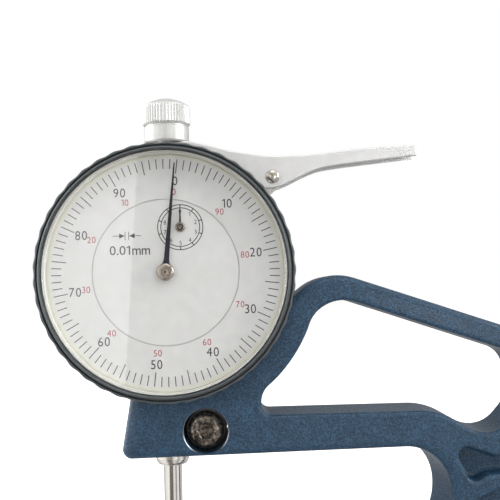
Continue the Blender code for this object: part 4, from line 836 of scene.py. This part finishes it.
def slotted(head, depth, shank, length):
    """Slotted screw whose head stands on the plane z = 0, and the cutter of its slot."""
    rise = depth * 0.35
    crown = [(head * math.cos(angle), depth - rise + rise * math.sin(angle)) for angle in quarter(5)[:-1]]
    profile = [(0.0, -length), (shank * 0.7, -length), (shank, -length + shank * 0.3), (shank, 0.0),
               (head, 0.0)] + crown + [(0.0, depth)]
    half = 0.2
    wide = head + OVERRUN
    slot = prism([(-wide, -half), (wide, -half), (wide, half), (-wide, half)], depth - 0.3, depth + OVERRUN)
    return turned(profile, 48), slot


class GAUGE_OT_case(bpy.types.Operator):
    """Turn the dial head's case with its back cover and screws"""
    bl_idname = "gauge.case"
    bl_label = "Case and back cover"

    def execute(self, context):
        back = -6.2
        wall = back + 1.7
        bore = CASE_BORE
        lip = CASE_RADIUS + 1.1
        front = 9.6
        groove_low, groove_high = front - 1.15, front - 0.2
        profile = ((CASE_RADIUS, back), (CASE_RADIUS, 6.0), (lip, 6.0), (lip, groove_low),
                   (lip - 0.6, groove_low), (lip - 0.6, groove_high), (lip, groove_high), (lip, front),
                   (bore, front), (bore, 2.5), (bore - 1.9, 2.5), (bore - 1.9, 1.5), (bore, 1.5), (bore, wall),
                   (bore - 1.5, wall), (bore - 1.5, back))
        inner = bore - 2.9
        cutters = [laid(rod(STEM_RADIUS + FIT, -lip - OVERRUN, -inner), UPRIGHT),
                   laid(rod(SPINDLE_RADIUS + 1.3, inner, lip + OVERRUN), UPRIGHT)]
        places = [at(*polar(CASE_BORE, 45.0 + 90.0 * number)) for number in range(4)]
        cutters += [laid(rod(1.0, back - OVERRUN, wall + OVERRUN, 32), place) for place in places]
        for offset in (-9.0, 9.0):
            screw_way = spun(PIVOT_ANGLE + offset, "Z") @ spun(90.0, "Y")
            cutters.append(laid(rod(0.9, bore - OVERRUN, CASE_RADIUS + OVERRUN, 32), screw_way))
        look = metal("case_aluminium", (0.6, 0.6, 0.59), 0.38, 0.05, 0.35, lathe=True)
        make("case_shell", turned(eased(profile, 0.15), 180), "gauge_body", look,
             ["case_body"], cutters=cutters)
        high = back - FIT
        low = high - 1.2
        profile = ((0.0, low + 0.15), (19.0, low + 0.15), (19.4, low), (CASE_RADIUS - 0.4, low),
                   (CASE_RADIUS, low + 0.4), (CASE_RADIUS, high), (0.0, high))
        holes = [laid(rod(1.0, low - OVERRUN, high + OVERRUN, 32), place) for place in places]
        cover = metal("cover_aluminium", (0.66, 0.66, 0.65), 0.33, 0.07, 0.45, lathe=True, spread=0.1)
        make("rear_cover", turned(eased(profile, 0.12), 180), "gauge_body", cover,
             ["back_cover"], cutters=holes)
        steel = metal("screw_steel", shade(context.scene.gauge_metal.steel, 0.85), 0.3, 0.08, 0.2)
        for number, place in enumerate(places, 1):
            screw, slot = slotted(1.4, 0.6, 0.7, 2.4)
            turn = place @ at(z=low - FIT) @ spun(180.0, "X") @ Matrix.Rotation(number * 1.1, 4, "Z")
            make(f"cover_screw_{number}", screw, "gauge_body", steel,
                 [f"back_cover_screw_{number}"], ON_DIAL @ turn, [slot])
        return {"FINISHED"}


class GAUGE_OT_movement(bpy.types.Operator):
    """Give the movement's plates, wheels, arbors, pillars and springs their metals"""
    bl_idname = "gauge.movement"
    bl_label = "Movement"

    def execute(self, context):
        steel = metal("arbor_steel", context.scene.gauge_metal.steel, 0.2, 0.08, 0.12)
        spring = metal("blued_spring_steel", (0.16, 0.19, 0.3), 0.24, 0.1, 0.1)
        looks = {"brass": brass_look(context), "steel": steel, "spring_steel": spring}
        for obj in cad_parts.values():
            if obj.hide_render:
                continue
            for place in obj.material_slots:
                place.material = looks.get(place.material.name.split(".")[0], place.material)
        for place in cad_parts["take_up_arbor"].material_slots:
            place.material = metal("dark_arbor_steel", (0.16, 0.145, 0.13), 0.4, 0.08, 0.2)
        return {"FINISHED"}


class GAUGE_OT_dial(bpy.types.Operator):
    """Paint the fixed dial plate and the scale ring that turns with the bezel"""
    bl_idname = "gauge.dial"
    bl_label = "Dial plate and scale ring"

    def execute(self, context):
        white = coating("dial_paint", context.scene.gauge_dial.plate, 0.42, 0.12, 0.06)
        radius = DIAL_RADIUS
        level = DIAL_TOP - 0.4
        ledge = sleeve(radius - 0.3, radius + 0.5, level - 0.3, level - 0.1)
        feet = [laid(rod(0.7, span("dial_plate")[0], level + 0.05, 32), at(*polar(14.0, angle)))
                for angle in (0.0, 180.0)]
        plate = turned(eased(sleeve(0.0, radius, level, DIAL_TOP), 0.06), 180)
        holes = [laid(rod(0.8, level - OVERRUN, DIAL_TOP + OVERRUN, 32), place) for place in (at(), at(*COUNTER))]
        make("fixed_dial", joined([plate, turned(ledge, 180), *feet]), "gauge_body", white,
             ["dial_plate"], cutters=holes)
        profile = eased(sleeve(radius + 0.5 * FIT, SCALE_RADIUS, level, DIAL_TOP), 0.06)
        make("scale_disc", turned(profile, 180), "bezel", white, ["scale_ring"])
        return {"FINISHED"}


def bar(start, end, width, low, high):
    """Straight printed line between two points."""
    start, end = Vector(start), Vector(end)
    side = (end - start).orthogonal().normalized() * (width / 2.0)
    return prism([tuple(point) for point in (start - side, end - side, end + side, start + side)], low, high)


def figure(mark):
    """One printed figure, a unit deep; the one gets a flag, which the built-in type leaves out."""
    curve = bpy.data.curves.new("figure", "FONT")
    curve.body = mark
    curve.resolution_u = 4
    curve.extrude = 0.5
    obj = bpy.data.objects.new("figure", curve)
    mesh = bpy.data.meshes.new_from_object(obj)
    bpy.data.objects.remove(obj)
    bpy.data.curves.remove(curve)
    bm = bmesh.new()
    bm.from_mesh(mesh)
    bpy.data.meshes.remove(mesh)
    if mark != "1":
        return bm
    left = min(vert.co.x for vert in bm.verts)
    top = max(vert.co.y for vert in bm.verts)
    flag = [(left, top), (left - 0.16, top - 0.11), (left - 0.16, top - 0.19), (left, top - 0.1)]
    return joined([bm, laid(prism(flag, -0.5, 0.5), Matrix.Scale(1.0 / MM, 4))])


def lettering(text, centre, height, low, high, narrow=1.0, gap=0.1):
    """Printed figures of a given height, set side by side and centred on a point."""
    figures = []
    reach = 0.0
    for mark in text:
        bm = figure(mark)
        left = min(vert.co.x for vert in bm.verts)
        figures.append(laid(bm, Matrix.Translation((reach - left, 0.0, 0.0))))
        reach = max(vert.co.x for vert in bm.verts) + gap
    bm = joined(figures)
    ys = [vert.co.y for vert in bm.verts]
    scale = height * MM / (max(ys) - min(ys))
    middle = Vector(((reach - gap) / 2.0, (max(ys) + min(ys)) / 2.0, 0.0))
    grow = Matrix.Diagonal((scale * narrow, scale, (high - low) * MM, 1.0))
    laid(bm, at(*centre, (low + high) / 2.0) @ grow @ Matrix.Translation(-middle))
    bmesh.ops.remove_doubles(bm, verts=bm.verts, dist=0.002 * MM)
    return bm


class GAUGE_OT_print(bpy.types.Operator):
    """Print the scale's lines and numbers, the counter's rings and the value of a division"""
    bl_idname = "gauge.print"
    bl_label = "Dial printing"

    def execute(self, context):
        settings = context.scene.gauge_dial
        low, high = DIAL_TOP, DIAL_TOP + settings.ink_depth / MM
        black = coating("black_ink", settings.ink, 0.45, 0.1, 0.1)
        red = coating("red_ink", settings.red_ink, 0.45, 0.1, 0.1)
        top = 90.0 - math.degrees(settings.turn)
        lines, numbers, red_numbers = [], [], []
        for number in range(100):
            angle = top - 3.6 * number
            inner = 24.06 if number % 5 else 23.1
            lines.append(bar(polar(inner, angle), polar(26.4, angle), 0.2, low, high))
        for ten in range(10):
            angle = top - 36.0 * ten
            numbers.append(lettering(str(ten * 10), polar(21.35, angle), settings.number_height / MM, low, high,
                                     0.9, 0.14))
            red_numbers.append(lettering(str((10 - ten) % 10 * 10), polar(18.75, angle), 1.5, low, high, 0.92, 0.12))
        make("scale_lines", joined(lines), "bezel", black)
        make("scale_numbers", joined(numbers), "bezel", black)
        make("reverse_numbers", joined(red_numbers), "bezel", red)
        # Painted light: a cream band round the scale's edge, outside its lines, standing for the pale band that the
        # crystal's chamfered edge shows there
        make("scale_margin", turned(sleeve(26.7, SCALE_RADIUS - 0.05, low, low + 0.01), 180), "bezel",
             coating("cream_paint", settings.margin, 0.5, 0.12, 0.06))
        outer, inner = 5.24, 4.5
        marks = [laid(turned(sleeve(radius - 0.1, radius + 0.1, low, high), 120), at(*COUNTER))
                 for radius in (outer, inner)]
        for number in range(10):
            angle = 90.0 - 36.0 * number
            marks.append(bar(polar(inner, angle, COUNTER), polar(outer, angle, COUNTER), 0.22, low, high))
            marks.append(lettering(str(number), polar(3.72, angle, COUNTER), 1.0, low, high, 0.95))
        marks.append(lettering("0.01", (-10.5, 5.25), 2.1, low, high, 1.05, 0.08))
        marks.append(lettering("mm", (-5.6, 4.92), 1.5, low, high, 0.9, 0.08))
        middle, level = -8.85, 8.6
        stroke = 0.14
        for side in (-1.0, 1.0):
            edge = middle + side * 0.42
            near, far = edge + side * 0.1, edge + side * 1.35
            marks.append(bar((edge, level - 0.95), (edge, level + 0.95), stroke, low, high))
            marks.append(prism([(near, level), (far, level + 0.6), (far, level - 0.6)], low, high))
            marks.append(bar((near, level), (far + side * 1.5, level), stroke, low, high))
        make("dial_marks", joined(marks), "gauge_body", black)
        return {"FINISHED"}


def hand_outline(eye, neck, side):
    """A hand: its round eye, and a blade given by its right-hand side."""
    root = math.degrees(math.asin(neck / eye))
    return arc(eye, 90.0 + root, 450.0 - root) + side + [(-x, y) for x, y in side[::-1]]


class GAUGE_OT_hands(bpy.types.Operator):
    """Fit the main hand with its hub, and the hand that counts the turns"""
    bl_idname = "gauge.hands"
    bl_label = "Hands"

    def execute(self, context):
        lacquer = coating("hand_lacquer", (0.01, 0.013, 0.02), 0.42, 0.1, 0.06, Specular_IOR_Level=0.25)
        low, high = span("main_hand")
        outline = hand_outline(2.0, 0.95, [(0.72, 2.3), (0.6, 3.1), (0.55, 5.0), (0.42, 11.0), (0.28, 18.0),
                                           (0.13, 25.4)])
        pointer = lofted(outline, ((low, -0.03), (low + 0.04, 0.0), (high - 0.07, 0.0), (high, -0.06)))
        make("pointer", pointer, "hand_arbor", lacquer, ["main_hand"], ON_DIAL @ spun(-5.6, "Z"),
             [rod(1.5, low - OVERRUN, high + OVERRUN)])
        low, high = span("hand_hub")
        cap = high - 0.5
        bore = 0.8
        profile = [(0.0, high - FIT), (bore, high - FIT), (bore, low), (1.7, low), (1.7, low + 0.4),
                   (1.2, low + 0.4), (1.2, cap), (2.0, cap), (2.0, high - 0.3), (1.62, high - 0.02), (0.3, high),
                   (0.2, high - 0.15), (0.0, high - 0.15)]
        bronze = metal("hub_bronze", (0.42, 0.37, 0.32), 0.24, 0.2, 0.06, lathe=True)
        hub = make("pointer_hub", turned(eased(profile, 0.08)), "hand_arbor", bronze, ["hand_hub"])
        # The little recess on top of the hub is coloured near black: painted shade for its hollow
        inlay(hub, metal("hub_recess", (0.08, 0.07, 0.06), 0.5, 0.05, 0.2),
              lambda centre, normal: math.hypot(centre.x, centre.y) < 0.25 and centre.z > cap)
        low, high = span("counter_hand")
        place = ON_DIAL @ at(*COUNTER)
        pointer = prism(hand_outline(1.0, 0.2, [(0.2, 1.2), (0.17, 3.0), (0.09, 4.5)]), low, low + 0.2)
        make("counter_pointer", pointer, "counter_arbor", lacquer, ["counter_hand"], place,
             [rod(bore, low - OVERRUN, high + OVERRUN)])
        profile = ((bore, low), (1.15, low), (1.15, high - 0.15), (1.0, high), (bore, high))
        make("counter_collar", turned(eased(profile, 0.05), 64), "counter_arbor", bronze, place=place)
        return {"FINISHED"}


class GAUGE_OT_bezel(bpy.types.Operator):
    """Turn the scalloped bezel and fit its crystal and the ring that holds the dial"""
    bl_idname = "gauge.bezel"
    bl_label = "Bezel and crystal"

    def execute(self, context):
        edge = BEZEL_RADIUS
        back, top = span("bezel_ring")
        bore = SCALE_RADIUS + 0.45
        band = top - 1.2
        profile = ((bore, back), (edge - 0.35, back), (edge, back + 0.35), (edge, band - 0.3),
                   (edge - 0.12, band - 0.08), (edge - 0.32, band), (edge - 0.6, band - 0.05),
                   (edge - 0.75, band - 0.3), (edge - 0.85, band - 0.7), (edge - 1.2, band - 0.7),
                   (bore + 0.45, band - 0.1), (bore + 0.4, top - 0.12), (bore + 0.28, top), (bore + 0.08, top),
                   (bore, top - 0.1))
        scallops = 45
        limit = edge - 0.7
        bezel = pressed(turned(eased(profile, 0.06, 2), 10 * scallops), lambda radius, height, angle:
                        0.11 * min(1.0, max(0.0, radius - limit) / 0.45) * (1.0 - math.cos(angle * scallops)))
        black = coating("bezel_black", context.scene.gauge_metal.black, 0.36, 0.1, 0.25, Specular_IOR_Level=0.8)
        make("grip_bezel", bezel, "bezel", black, ["bezel_ring"])
        low, high = span("dial_retaining_ring")
        outer = bore - FIT
        inner = outer - 0.55
        profile = ((inner, low), (outer, low), (outer, high), (inner + 0.2, high), (inner, high - 0.2))
        bright = metal("bright_ring", (0.74, 0.73, 0.67), 0.5, 0.25, 0.05, lathe=True, spread=0.05, metallic=0.5)
        make("dial_ring", turned(eased(profile, 0.08), 180), "bezel", bright, ["dial_retaining_ring"])
        low, high = span("crystal")
        profile = ((0.0, low), (outer, low), (outer, high - 0.25), (outer - 0.25, high), (0.0, high))
        glass, shader = plain("crystal", Roughness=0.02, IOR=1.49, Transmission_Weight=1.0)
        if shader:
            tones = ((0.3, (0.985, 0.99, 0.985)), (0.7, (1.0, 1.0, 1.0)))
            link(glass, shader, Base_Color=ramp(glass, grain(glass, 4.0), *tones))
            shadow = node(glass, "ShaderNodeLightPath")["Is Shadow Ray"]
            clear = node(glass, "ShaderNodeBsdfTransparent")[0]
            mixed = node(glass, "ShaderNodeMixShader", {0: shadow, 1: shader.outputs[0], 2: clear})[0]
            link(glass, glass.node_tree.nodes["Material Output"], Surface=mixed)
        make("dial_crystal", turned(eased(profile, 0.1), 180), "bezel", glass, ["crystal"])
        return {"FINISHED"}


LEVER_HEAD_SHARES = ((1.0, 0.191), (0.821, 0.290), (0.717, 0.290), (0.606, 0.310), (0.484, 0.345),
                     (0.380, 0.430), (0.221, 0.660), (0.126, 0.870))
LEVER_TOP_SHARES = ((0.074, 0.549), (0.221, 0.560), (0.366, 0.610), (0.513, 0.672), (0.660, 0.716),
                    (0.808, 0.747), (1.0, 0.772))
LEVER_LOW_SHARES = ((1.0, 0.489), (0.805, 0.412), (0.610, 0.336), (0.414, 0.249), (0.314, 0.176),
                    (0.219, 0.033), (0.119, -0.151), (0.051, -0.259), (-0.018, -0.311), (-0.063, -0.294))
LEVER_ARM = 35.3
LEVER_RISE = 9.2
LEVER_HALF = 3.5
LEVER_SHEET = 1.0


def lever_outline():
    """Top edge, low edge and the arc under the head, which follows the case."""
    lever_arc = CASE_RADIUS + 3.2
    fork = 3.0
    head = [polar(lever_arc + rise * LEVER_RISE, PIVOT_ANGLE + sweep * (90.0 - PIVOT_ANGLE))
            for sweep, rise in LEVER_HEAD_SHARES]
    arm, low = ([(PIVOT.x + x * LEVER_ARM, PIVOT.y + y * LEVER_RISE) for x, y in shares]
                for shares in (LEVER_TOP_SHARES, LEVER_LOW_SHARES))
    under = arc(lever_arc, PIVOT_ANGLE + 1.0, math.degrees(math.acos(-fork / lever_arc)))
    start = (-fork, under[-1][1] + 1.46)
    return smooth([start] + head + arm), smooth(low), under


class GAUGE_OT_lever(bpy.types.Operator):
    """Fold the lifting lever, fit its rivet and give its bracket and the bracket's screws their steel"""
    bl_idname = "gauge.lever"
    bl_label = "Lifting lever"

    def execute(self, context):
        tarnished = shade(context.scene.gauge_metal.aluminium, 0.7)
        satin = metal("satin_aluminium", tarnished, 0.45, 0.22, 0.2, metallic=0.8)
        for name in ("lever_bracket", "bracket_screw_1", "bracket_screw_2"):
            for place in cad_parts[name].material_slots:
                place.material = steel_look(context)
        top, low, under = lever_outline()
        edge = both_sides([(0.0, 0.0)] + round_edge(0.4, LEVER_HALF))[1:]
        lever = lofted(top + low + under + [(under[-1][0], under[-1][1] + 0.4)], edge)
        web = 8.0
        roof = [(x, y - LEVER_SHEET) for x, y in top if x > web]
        beyond = roof[-1][0] + 3.0
        left, above = -4.0, CASE_RADIUS * 1.5
        hollow = [(left, 0.0), (left, above), (web, above), (web, roof[0][1])] + roof
        hollow += [(beyond, roof[-1][1]), (beyond, 0.0)]
        inside = LEVER_HALF - LEVER_SHEET
        on_pivot = at(PIVOT.x, PIVOT.y)
        hole = laid(rod(1.0 + FIT, -LEVER_HALF - OVERRUN, LEVER_HALF + OVERRUN, 48), on_pivot)
        make("folded_lever", lever, "lever", satin, ["lift_lever"],
             cutters=[prism(hollow[::-1], -inside, inside), hole])
        low, high = span("lever_pin")
        head, depth, shank = 1.65, 0.8, 1.0
        dome = [(head * math.cos(angle), depth * math.sin(angle)) for angle in quarter(8)[:-1]]
        profile = [(0.0, low)] + [(radius, low + depth - height) for radius, height in dome[::-1]]
        profile += [(shank, low + depth), (shank, high - depth)]
        profile += [(radius, high - depth + height) for radius, height in dome] + [(0.0, high)]
        nickel = metal("rivet_nickel", (0.46, 0.43, 0.38), 0.27, 0.2, 0.08, spread=0.05)
        make("lever_rivet", turned(profile, 64), "gauge_body", nickel, ["lever_pin"], ON_DIAL @ on_pivot)
        return {"FINISHED"}


WHITE = (1.0, 1.0, 1.0, 1.0)

# What polished metal mirrors of the room: (angle from the camera, positive past the heel; brightness)
ROOM_LEVELS = (
    (-180.0, 0.3), (-145.0, 0.4), (-112.0, 0.95), (-66.0, 1.25), (-46.0, 1.2), (-36.0, 0.22), (2.0, 0.22),
    (9.0, 1.0), (28.0, 0.95), (39.0, 0.35), (46.0, 0.35), (57.0, 1.1), (74.0, 1.1), (86.0, 0.35), (94.0, 0.35),
    (112.0, 0.8), (140.0, 0.7), (180.0, 0.3))


def room_levels(material, across, toward):
    """The room as metal mirrors it, by the direction over the floor; its darkest parts are warm."""
    azimuth = maths(material, "ARCTAN2", across, maths(material, "MULTIPLY", toward, -1.0))
    values = {"Value": azimuth, "From Min": -math.pi, "From Max": math.pi}
    share = node(material, "ShaderNodeMapRange", values)["Result"]
    stops = [(0.5 + angle / 360.0, (level, level * 0.88, level * 0.78) if level < 0.3 else (level,) * 3)
             for angle, level in ROOM_LEVELS]
    return ramp(material, share, *stops)


# Lamps: azimuth, 0 in front of the dial and 90 past the heel; elevation; size; share of the level; distance
SOFTBOXES = {
    "top_box": (10.0, 62.0, (0.5, 0.4), 1.0, 0.75),
    "left_box": (-100.0, 14.0, (0.3, 0.4), 2.0, 0.4),
    "right_box": (76.0, 22.0, (0.2, 0.25), 3.0, 0.36),
    "far_box": (22.0, 1.0, (0.2, 0.1), 3.2, 0.6),
    "window_box": (-33.0, 9.0, (0.36, 0.27), 0.6, 0.45),
    "front_box": (-8.0, 30.0, (0.5, 0.5), 0.75, 0.75),
}


def softbox(context, name, level):
    """Square lamp that faces the gauge."""
    azimuth, elevation, size, share, distance = SOFTBOXES[name]
    lamp = bpy.data.lights.new(name, "AREA")
    lamp.shape = "RECTANGLE"
    lamp.size, lamp.size_y = size
    lamp.energy = level * share * math.pi * size[0] * size[1]
    obj = bpy.data.objects.new(name, lamp)
    context.scene.collection.objects.link(obj)
    side, rise = math.radians(azimuth), math.radians(elevation)
    away = Vector((math.sin(side) * math.cos(rise), -math.cos(side) * math.cos(rise), math.sin(rise)))
    target = Vector((30.0, 0.0, DIAL_HEIGHT - 15.0)) * MM
    obj.matrix_world = Matrix.Translation(target + away * distance) @ away.to_track_quat("Z", "Y").to_matrix().to_4x4()
    obj.visible_camera = False
    return obj


def blended(tree, factor, first, second):
    """Blend of two colours: the first where the factor is 0, the second where it is 1."""
    return node(tree, "ShaderNodeMix", {0: factor, 6: first, 7: second}, data_type="RGBA")[2]


class GAUGE_OT_stage(bpy.types.Operator):
    """Lay the floor, set the lamps and stand the camera where the picture was taken"""
    bl_idname = "gauge.stage"
    bl_label = "Stage"

    def execute(self, context):
        settings = context.scene.gauge_stage
        camera = bpy.data.cameras.new("gauge_camera")
        camera.lens = settings.camera_lens
        camera.sensor_width = 36.0
        camera.clip_start = 0.01
        view = bpy.data.objects.new("gauge_camera", camera)
        context.scene.collection.objects.link(view)
        yaw = Matrix.Rotation(-settings.camera_yaw, 4, "Z")
        pitch = Matrix.Rotation(math.pi / 2.0 + settings.camera_pitch, 4, "X")
        roll = Matrix.Rotation(settings.camera_roll, 4, "Z")
        view.matrix_world = ON_SPINDLE @ Matrix.Translation(settings.camera_place) @ yaw @ pitch @ roll
        context.scene.camera = view

        floor = new_object("floor", rod(3000.0, -2.0, 0.0), Matrix.Identity(4))
        paper, shader = plain("floor_paper", Roughness=0.9, Specular_IOR_Level=0.1)
        tones = ((0.3, (0.85, 0.85, 0.85)), (0.7, (0.88, 0.88, 0.88)))
        path = node(paper, "ShaderNodeLightPath")
        seen = maths(paper, "MAXIMUM", path["Is Camera Ray"], path["Is Transmission Ray"])
        shader.inputs["Emission Color"].default_value = WHITE
        link(paper, shader, Base_Color=ramp(paper, grain(paper, 2.0), *tones),
             Emission_Strength=maths(paper, "MULTIPLY", seen, 0.6))
        # For glossy rays the floor glows with the room's levels instead of its paper: a painted reflection of the
        # room, its dark zone included, that the metal mirrors
        place = node(paper, "ShaderNodeSeparateXYZ", {0: place_on(paper)})
        mirrored = node(paper, "ShaderNodeEmission", {"Color": room_levels(paper, place["X"], place["Y"])})[0]
        mixed = node(paper, "ShaderNodeMixShader", {0: path["Is Glossy Ray"], 1: shader.outputs[0], 2: mirrored})[0]
        link(paper, paper.node_tree.nodes["Material Output"], Surface=mixed)
        floor.data.materials.append(paper)

        world = bpy.data.worlds.new("studio")
        world.use_nodes = True
        context.scene.world = world
        direction = node(world, "ShaderNodeSeparateXYZ", {0: node(world, "ShaderNodeTexCoord")["Generated"]})
        values = {"Value": maths(world, "ABSOLUTE", direction["Z"]), "From Min": 0.45, "From Max": 0.7}
        steep = node(world, "ShaderNodeMapRange", values)["Result"]
        walls = blended(world, steep, room_levels(world, direction["X"], direction["Y"]), WHITE)
        path = node(world, "ShaderNodeLightPath")
        mirrored = maths(world, "GREATER_THAN", path["Glossy Depth"], 0.5)
        scattered = maths(world, "GREATER_THAN", path["Diffuse Depth"], 0.5)
        shown = blended(world, mirrored, WHITE, walls)
        shown = blended(world, scattered, shown, (*(settings.sky_level,) * 3, 1.0))
        link(world, world.node_tree.nodes["Background"], Color=shown)

        lamps = {name: softbox(context, name, settings.box_level) for name in SOFTBOXES}
        lamps["front_box"].visible_glossy = False
        lamps["front_box"].visible_transmission = False
        return {"FINISHED"}


# In the order in which they run
STEPS = (GAUGE_OT_casting, GAUGE_OT_clamp, GAUGE_OT_anvil, GAUGE_OT_spindle, GAUGE_OT_knob, GAUGE_OT_case,
         GAUGE_OT_dial, GAUGE_OT_print, GAUGE_OT_hands, GAUGE_OT_bezel, GAUGE_OT_lever, GAUGE_OT_movement,
         GAUGE_OT_stage)
GROUPS = {"gauge_casting": CastingSettings, "gauge_dial": DialSettings, "gauge_metal": MetalSettings,
          "gauge_stage": StageSettings}


class GAUGE_PT_panel(bpy.types.Panel):
    """Sizes, colours and making steps of the gauge"""
    bl_idname = "GAUGE_PT_panel"
    bl_label = "Dial Thickness Gauge"
    bl_space_type = "VIEW_3D"
    bl_region_type = "UI"
    bl_category = "Gauge"

    def draw(self, context):
        for group, settings in GROUPS.items():
            box = self.layout.box()
            for name in settings.__annotations__:
                box.prop(getattr(context.scene, group), name)
        for step in STEPS:
            self.layout.operator(step.bl_idname, text=step.bl_label)


CLASSES = (*GROUPS.values(), *STEPS, GAUGE_PT_panel)


def register():
    for cls in CLASSES:
        bpy.utils.register_class(cls)
    for group, settings in GROUPS.items():
        setattr(bpy.types.Scene, group, bpy.props.PointerProperty(type=settings))


def unregister():
    for group in GROUPS:
        delattr(bpy.types.Scene, group)
    for cls in reversed(CLASSES):
        bpy.utils.unregister_class(cls)


def main():
    register()
    for step in STEPS:
        getattr(bpy.ops.gauge, step.bl_idname.split(".")[1])()
    bpy.context.scene.view_settings.view_transform = "Standard"


if __name__ == "__main__":
    main()
